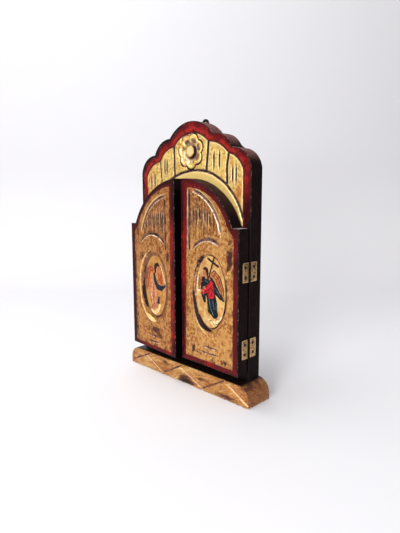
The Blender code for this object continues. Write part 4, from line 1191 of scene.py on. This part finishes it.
def turned(profile, sides=20):
    """A mesh turned about Z from (radius, height) points in mm, closed at its ends."""
    form = bmesh.new()
    rings = []
    for radius, height in profile:
        if radius < 1e-6:
            rings.append([form.verts.new((0, 0, height * MM))])
        else:
            rings.append([form.verts.new((radius * MM * math.cos(2 * math.pi * i / sides),
                                          radius * MM * math.sin(2 * math.pi * i / sides), height * MM))
                          for i in range(sides)])
    for low, high in zip(rings, rings[1:]):
        for i in range(sides):
            corners = [low[i % len(low)], low[(i + 1) % len(low)],
                       high[(i + 1) % len(high)], high[i % len(high)]]
            form.faces.new(list(dict.fromkeys(corners)))
    bmesh.ops.recalc_face_normals(form, faces=form.faces)
    return mesh_of("turned", form)


def barrels(wing, start, inner):
    """The knuckles of one leaf: every second length of its edge, rolled round the pin."""
    far, near = inner, inner + LEAF_THICKNESS
    first, last = (math.degrees(math.asin(face / KNUCKLE_RADIUS)) for face in (far, near))
    outline = [(start + 0.3, far), *arc((0, 0), KNUCKLE_RADIUS, first, last - 360, 26), (start + 0.3, near)]
    bore = arc((0, 0), BORE_RADIUS, 0, 360, 16)[:-1]
    pitch = HINGE_HEIGHT / KNUCKLES
    for index in range(1 if wing == "door" else 0, KNUCKLES, 2):
        barrel = cut_sheet("barrel", [outline, bore], pitch - CLEAR, 0.08)
        centre = (index + 0.5) * pitch - HINGE_HEIGHT / 2
        barrel.transform(Matrix(((0, 1, 0, 0), (1, 0, 0, 0), (0, 0, 1, centre * MM), (0, 0, 0, 1))))
        barrel.flip_normals()
        yield barrel


def leaf(side, level, wing, middle, brass):
    """One hinge leaf: a sheet with clipped corners whose edge is rolled into barrels round the pin."""
    hand_side, way = SIDES[side], -1 if wing == "door" else 1
    inner, start = -PIN_OUT + CLEAR, KNUCKLE_RADIUS + CLEAR
    reach = SEAM / 2 + LEAF_REACH[wing]
    half, clip = HINGE_HEIGHT / 2, 0.8
    sheet = [(start, -half), (reach - clip, -half), (reach, -half + clip), (reach, half - clip),
             (reach - clip, half), (start, half)]
    plate = cut_sheet("plate", [sheet], LEAF_THICKNESS, 0.1)
    lie = (inner + LEAF_THICKNESS / 2) * MM
    plate.transform(Matrix(((0, 0, 1, lie), (1, 0, 0, 0), (0, 1, 0, 0), (0, 0, 0, 1))))
    place = Matrix.Translation((0, 0, middle)) @ Matrix.Diagonal((hand_side, way, 1, 1))
    piece = as_piece(f"rolled_{side}_{level}_{wing}_leaf", [plate, *barrels(wing, start, inner)], brass,
                     place)
    if hand_side * way < 0:
        piece.data.flip_normals()
    points = np.array([(abs(v.co.y), v.co.z - middle) for v in piece.data.vertices]) / MM
    places = {"leaf across": points[:, 0], "leaf up": points[:, 1], "leaf end": reach - points[:, 0],
              "leaf nail": points[:, 0] - SEAM / 2 - NAIL_PLACE * LEAF_REACH[wing]}
    for layer_name, values in places.items():
        store(piece.data, layer_name, values)
    piece.data.transform(hung(side, wing))
    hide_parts(f"hinge_{side}_{level}_{wing}_leaf")
    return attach(piece, f"{side}_door" if wing == "door" else "case")


def domed_head(name, node, size, axis, finish, body):
    """A domed nail head, standing on the side of its CAD node that faces the wood."""
    low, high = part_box(node)
    radius, height = size
    head = turned([(0.0, 0.0), (radius, 0.0), (radius * 0.96, height * 0.3), (radius * 0.8, height * 0.65),
                   (radius * 0.5, height * 0.9), (0.0, height)])
    way = Vector(axis)
    turn = way.to_track_quat("Z", "Y").to_matrix().to_4x4()
    base = (low + high) / 2 - way * (high - low).dot(Vector([abs(c) for c in axis])) / 2
    piece = as_piece(name, [head], finish, Matrix.Translation(base) @ turn)
    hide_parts(node)
    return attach(piece, body)


def hinge(side, level, brass, iron):
    """A butt hinge: its pin, its two leaves and two nails in each."""
    stem, half, round_end = f"hinge_{side}_{level}", HINGE_HEIGHT / 2, PIN_RADIUS - 0.08
    low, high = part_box(f"{stem}_pin")
    middle = (low.z + high.z) / 2
    pin = turned([(0, -half), (round_end, -half), (PIN_RADIUS, PIN_EASE - half),
                  (PIN_RADIUS, half - PIN_EASE), (round_end, half), (0, half)])
    pin = as_piece(f"turned_{side}_{level}_pin", [pin], brass,
                   hung(side, "board") @ Matrix.Translation((0, 0, middle)))
    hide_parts(f"{stem}_pin")
    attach(pin, "case")
    for wing in ("door", "board"):
        leaf(side, level, wing, middle, brass)
        outward = hung(side, wing).to_3x3() @ Vector((SIDES[side], 0, 0))
        for index in (1, 2):
            domed_head(f"domed_{side}_{level}_{wing}_nail_{index}", f"{stem}_{wing}_nail_{index}",
                       HINGE_NAIL, outward, iron, f"{side}_door" if wing == "door" else "case")


def hanger(black):
    """The hanging plate: a strap with a round eye, and the two nails that hold it on the back."""
    low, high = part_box("hanger_plate")
    centre = Vector(((low.x + high.x) / 2, (low.y + high.y) / 2, high.z - HANGER_EYE * MM))
    start = math.degrees(-math.acos(HANGER_STRAP_HALF / HANGER_EYE))
    outline = [(-HANGER_STRAP_HALF, -HANGER_STRAP), (HANGER_STRAP_HALF, -HANGER_STRAP),
               *arc((0, 0), HANGER_EYE, start, 180 - start, 30)]
    hole = arc((0, 0), HANGER_HOLE, 0, 360, 20)[:-1]
    plate = cut_sheet("plate", [outline, hole], (high.y - low.y) / MM, 0.3)
    upright = Matrix.Translation(centre) @ Matrix.Rotation(math.pi / 2, 4, "X")
    piece = as_piece("rounded_hanger_plate", [plate], black, upright)
    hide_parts("hanger_plate")
    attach(piece, "case")
    for index in (1, 2):
        domed_head(f"domed_hanger_nail_{index}", f"hanger_nail_{index}", HANGER_NAIL, (0, 1, 0), black,
                   "case")


# ---- The stage, in metres and degrees --------------------------------------------------------
CAMERA_PLACE = (0.35438, -0.34672, 0.21014)
CAMERA_TURN = (81.2508, 0.1809, 44.6462)
CAMERA_LENS = 29.697


def soft_light(name, place, aim, size, watts):
    data = bpy.data.lights.new(name, "AREA")
    data.shape = "RECTANGLE"
    data.size, data.size_y = size
    data.energy = watts
    light = in_scene(name, data)
    light.location = place
    light.rotation_euler = (Vector(aim) - Vector(place)).to_track_quat("-Z", "Y").to_euler()


def paper_sweep():
    """Pale paper that runs from the floor up a wall behind, square to the camera's view."""
    away, sideways = Vector((-0.703, 0.711, 0.0)), Vector((0.711, 0.703, 0.0))
    wall, bend, reach, half_width, tall = 0.8, 0.3, 3.0, 4.0, 4.0
    profile = [(-reach, 0.0), (wall - bend, 0.0)]
    profile += [(wall - bend + bend * math.sin(t), bend - bend * math.cos(t))
                for t in np.linspace(0.1, math.pi / 2, 12)]
    profile += [(wall, tall)]
    form = bmesh.new()
    near, far = ([form.verts.new(away * run + sideways * side + Vector((0, 0, rise)))
                  for run, rise in profile] for side in (-half_width, half_width))
    for index in range(len(profile) - 1):
        form.faces.new((near[index], far[index], far[index + 1], near[index + 1]))
    mesh = mesh_of("paper_sweep", form)
    mesh.shade_smooth()
    paper = bpy.data.materials.new("matt white paper")
    paper.use_nodes = True
    shader = paper.node_tree.nodes["Principled BSDF"]
    shader.inputs["Base Color"].default_value = linear("DDDCDF")
    shader.inputs["Roughness"].default_value = 0.9
    mesh.materials.append(paper)
    in_scene("paper_sweep", mesh)


def studio():
    """Even white light all round, two soft lights in front and a bigger one overhead."""
    world = bpy.data.worlds.new("soft room")
    world.use_nodes = True
    background = world.node_tree.nodes["Background"].inputs
    background["Color"].default_value = (1.0, 1.0, 1.0, 1.0)
    background["Strength"].default_value = 0.33
    bpy.context.scene.world = world
    soft_light("front_softbox", (0.38, -1.45, 0.85), (0, 0, 0.12), (0.6, 0.6), 15)
    soft_light("fill_softbox", (0.55, -1.2, 0.3), (0, 0, 0.12), (0.35, 0.35), 7)
    soft_light("top_softbox", (-0.45, -0.35, 1.7), (0, 0, 0), (1.2, 1.2), 21)
    bpy.context.scene.view_settings.view_transform = "Standard"


def camera():
    """A camera in front and to the right, above the middle of the case and tilted a little down."""
    data = bpy.data.cameras.new("camera")
    data.lens = CAMERA_LENS
    data.clip_start = 0.01
    thing = in_scene("camera", data)
    thing.location = CAMERA_PLACE
    thing.rotation_euler = [math.radians(angle) for angle in CAMERA_TURN]
    bpy.context.scene.camera = thing


camera()
paper_sweep()
studio()
back_board([painted_gilding("rubbed gilding on the board", TONES["board"], wax=0.4),
            black_lacquer("brushed black lacquer on the board", 0.8),
            stained_back("black-stained softwood back")])
door_edges = black_lacquer("brushed black lacquer on the doors", 0.1)
for side in SIDES:
    front = painted_gilding(f"rubbed gilding on the {side} door", TONES[side], paints=FIGURE_PAINTS[side])
    inside = painted_gilding(f"plain gilding inside the {side} door", TONES[side] | {"glow": 0.0}, wax=0.3)
    door(side, [front, door_edges, inside])
plinth(bronzed_plinth("rubbed bronze powder"))
rolled_brass = worn_brass("tarnished rolled brass")
nail_steel = dark_steel("blued steel nails", "2A2320", "4A3026", 0.45)
for side in SIDES:
    for level in LEVELS:
        hinge(side, level, rolled_brass, nail_steel)
hanger(dark_steel("black painted steel", "141213", "2A201C", 0.5))
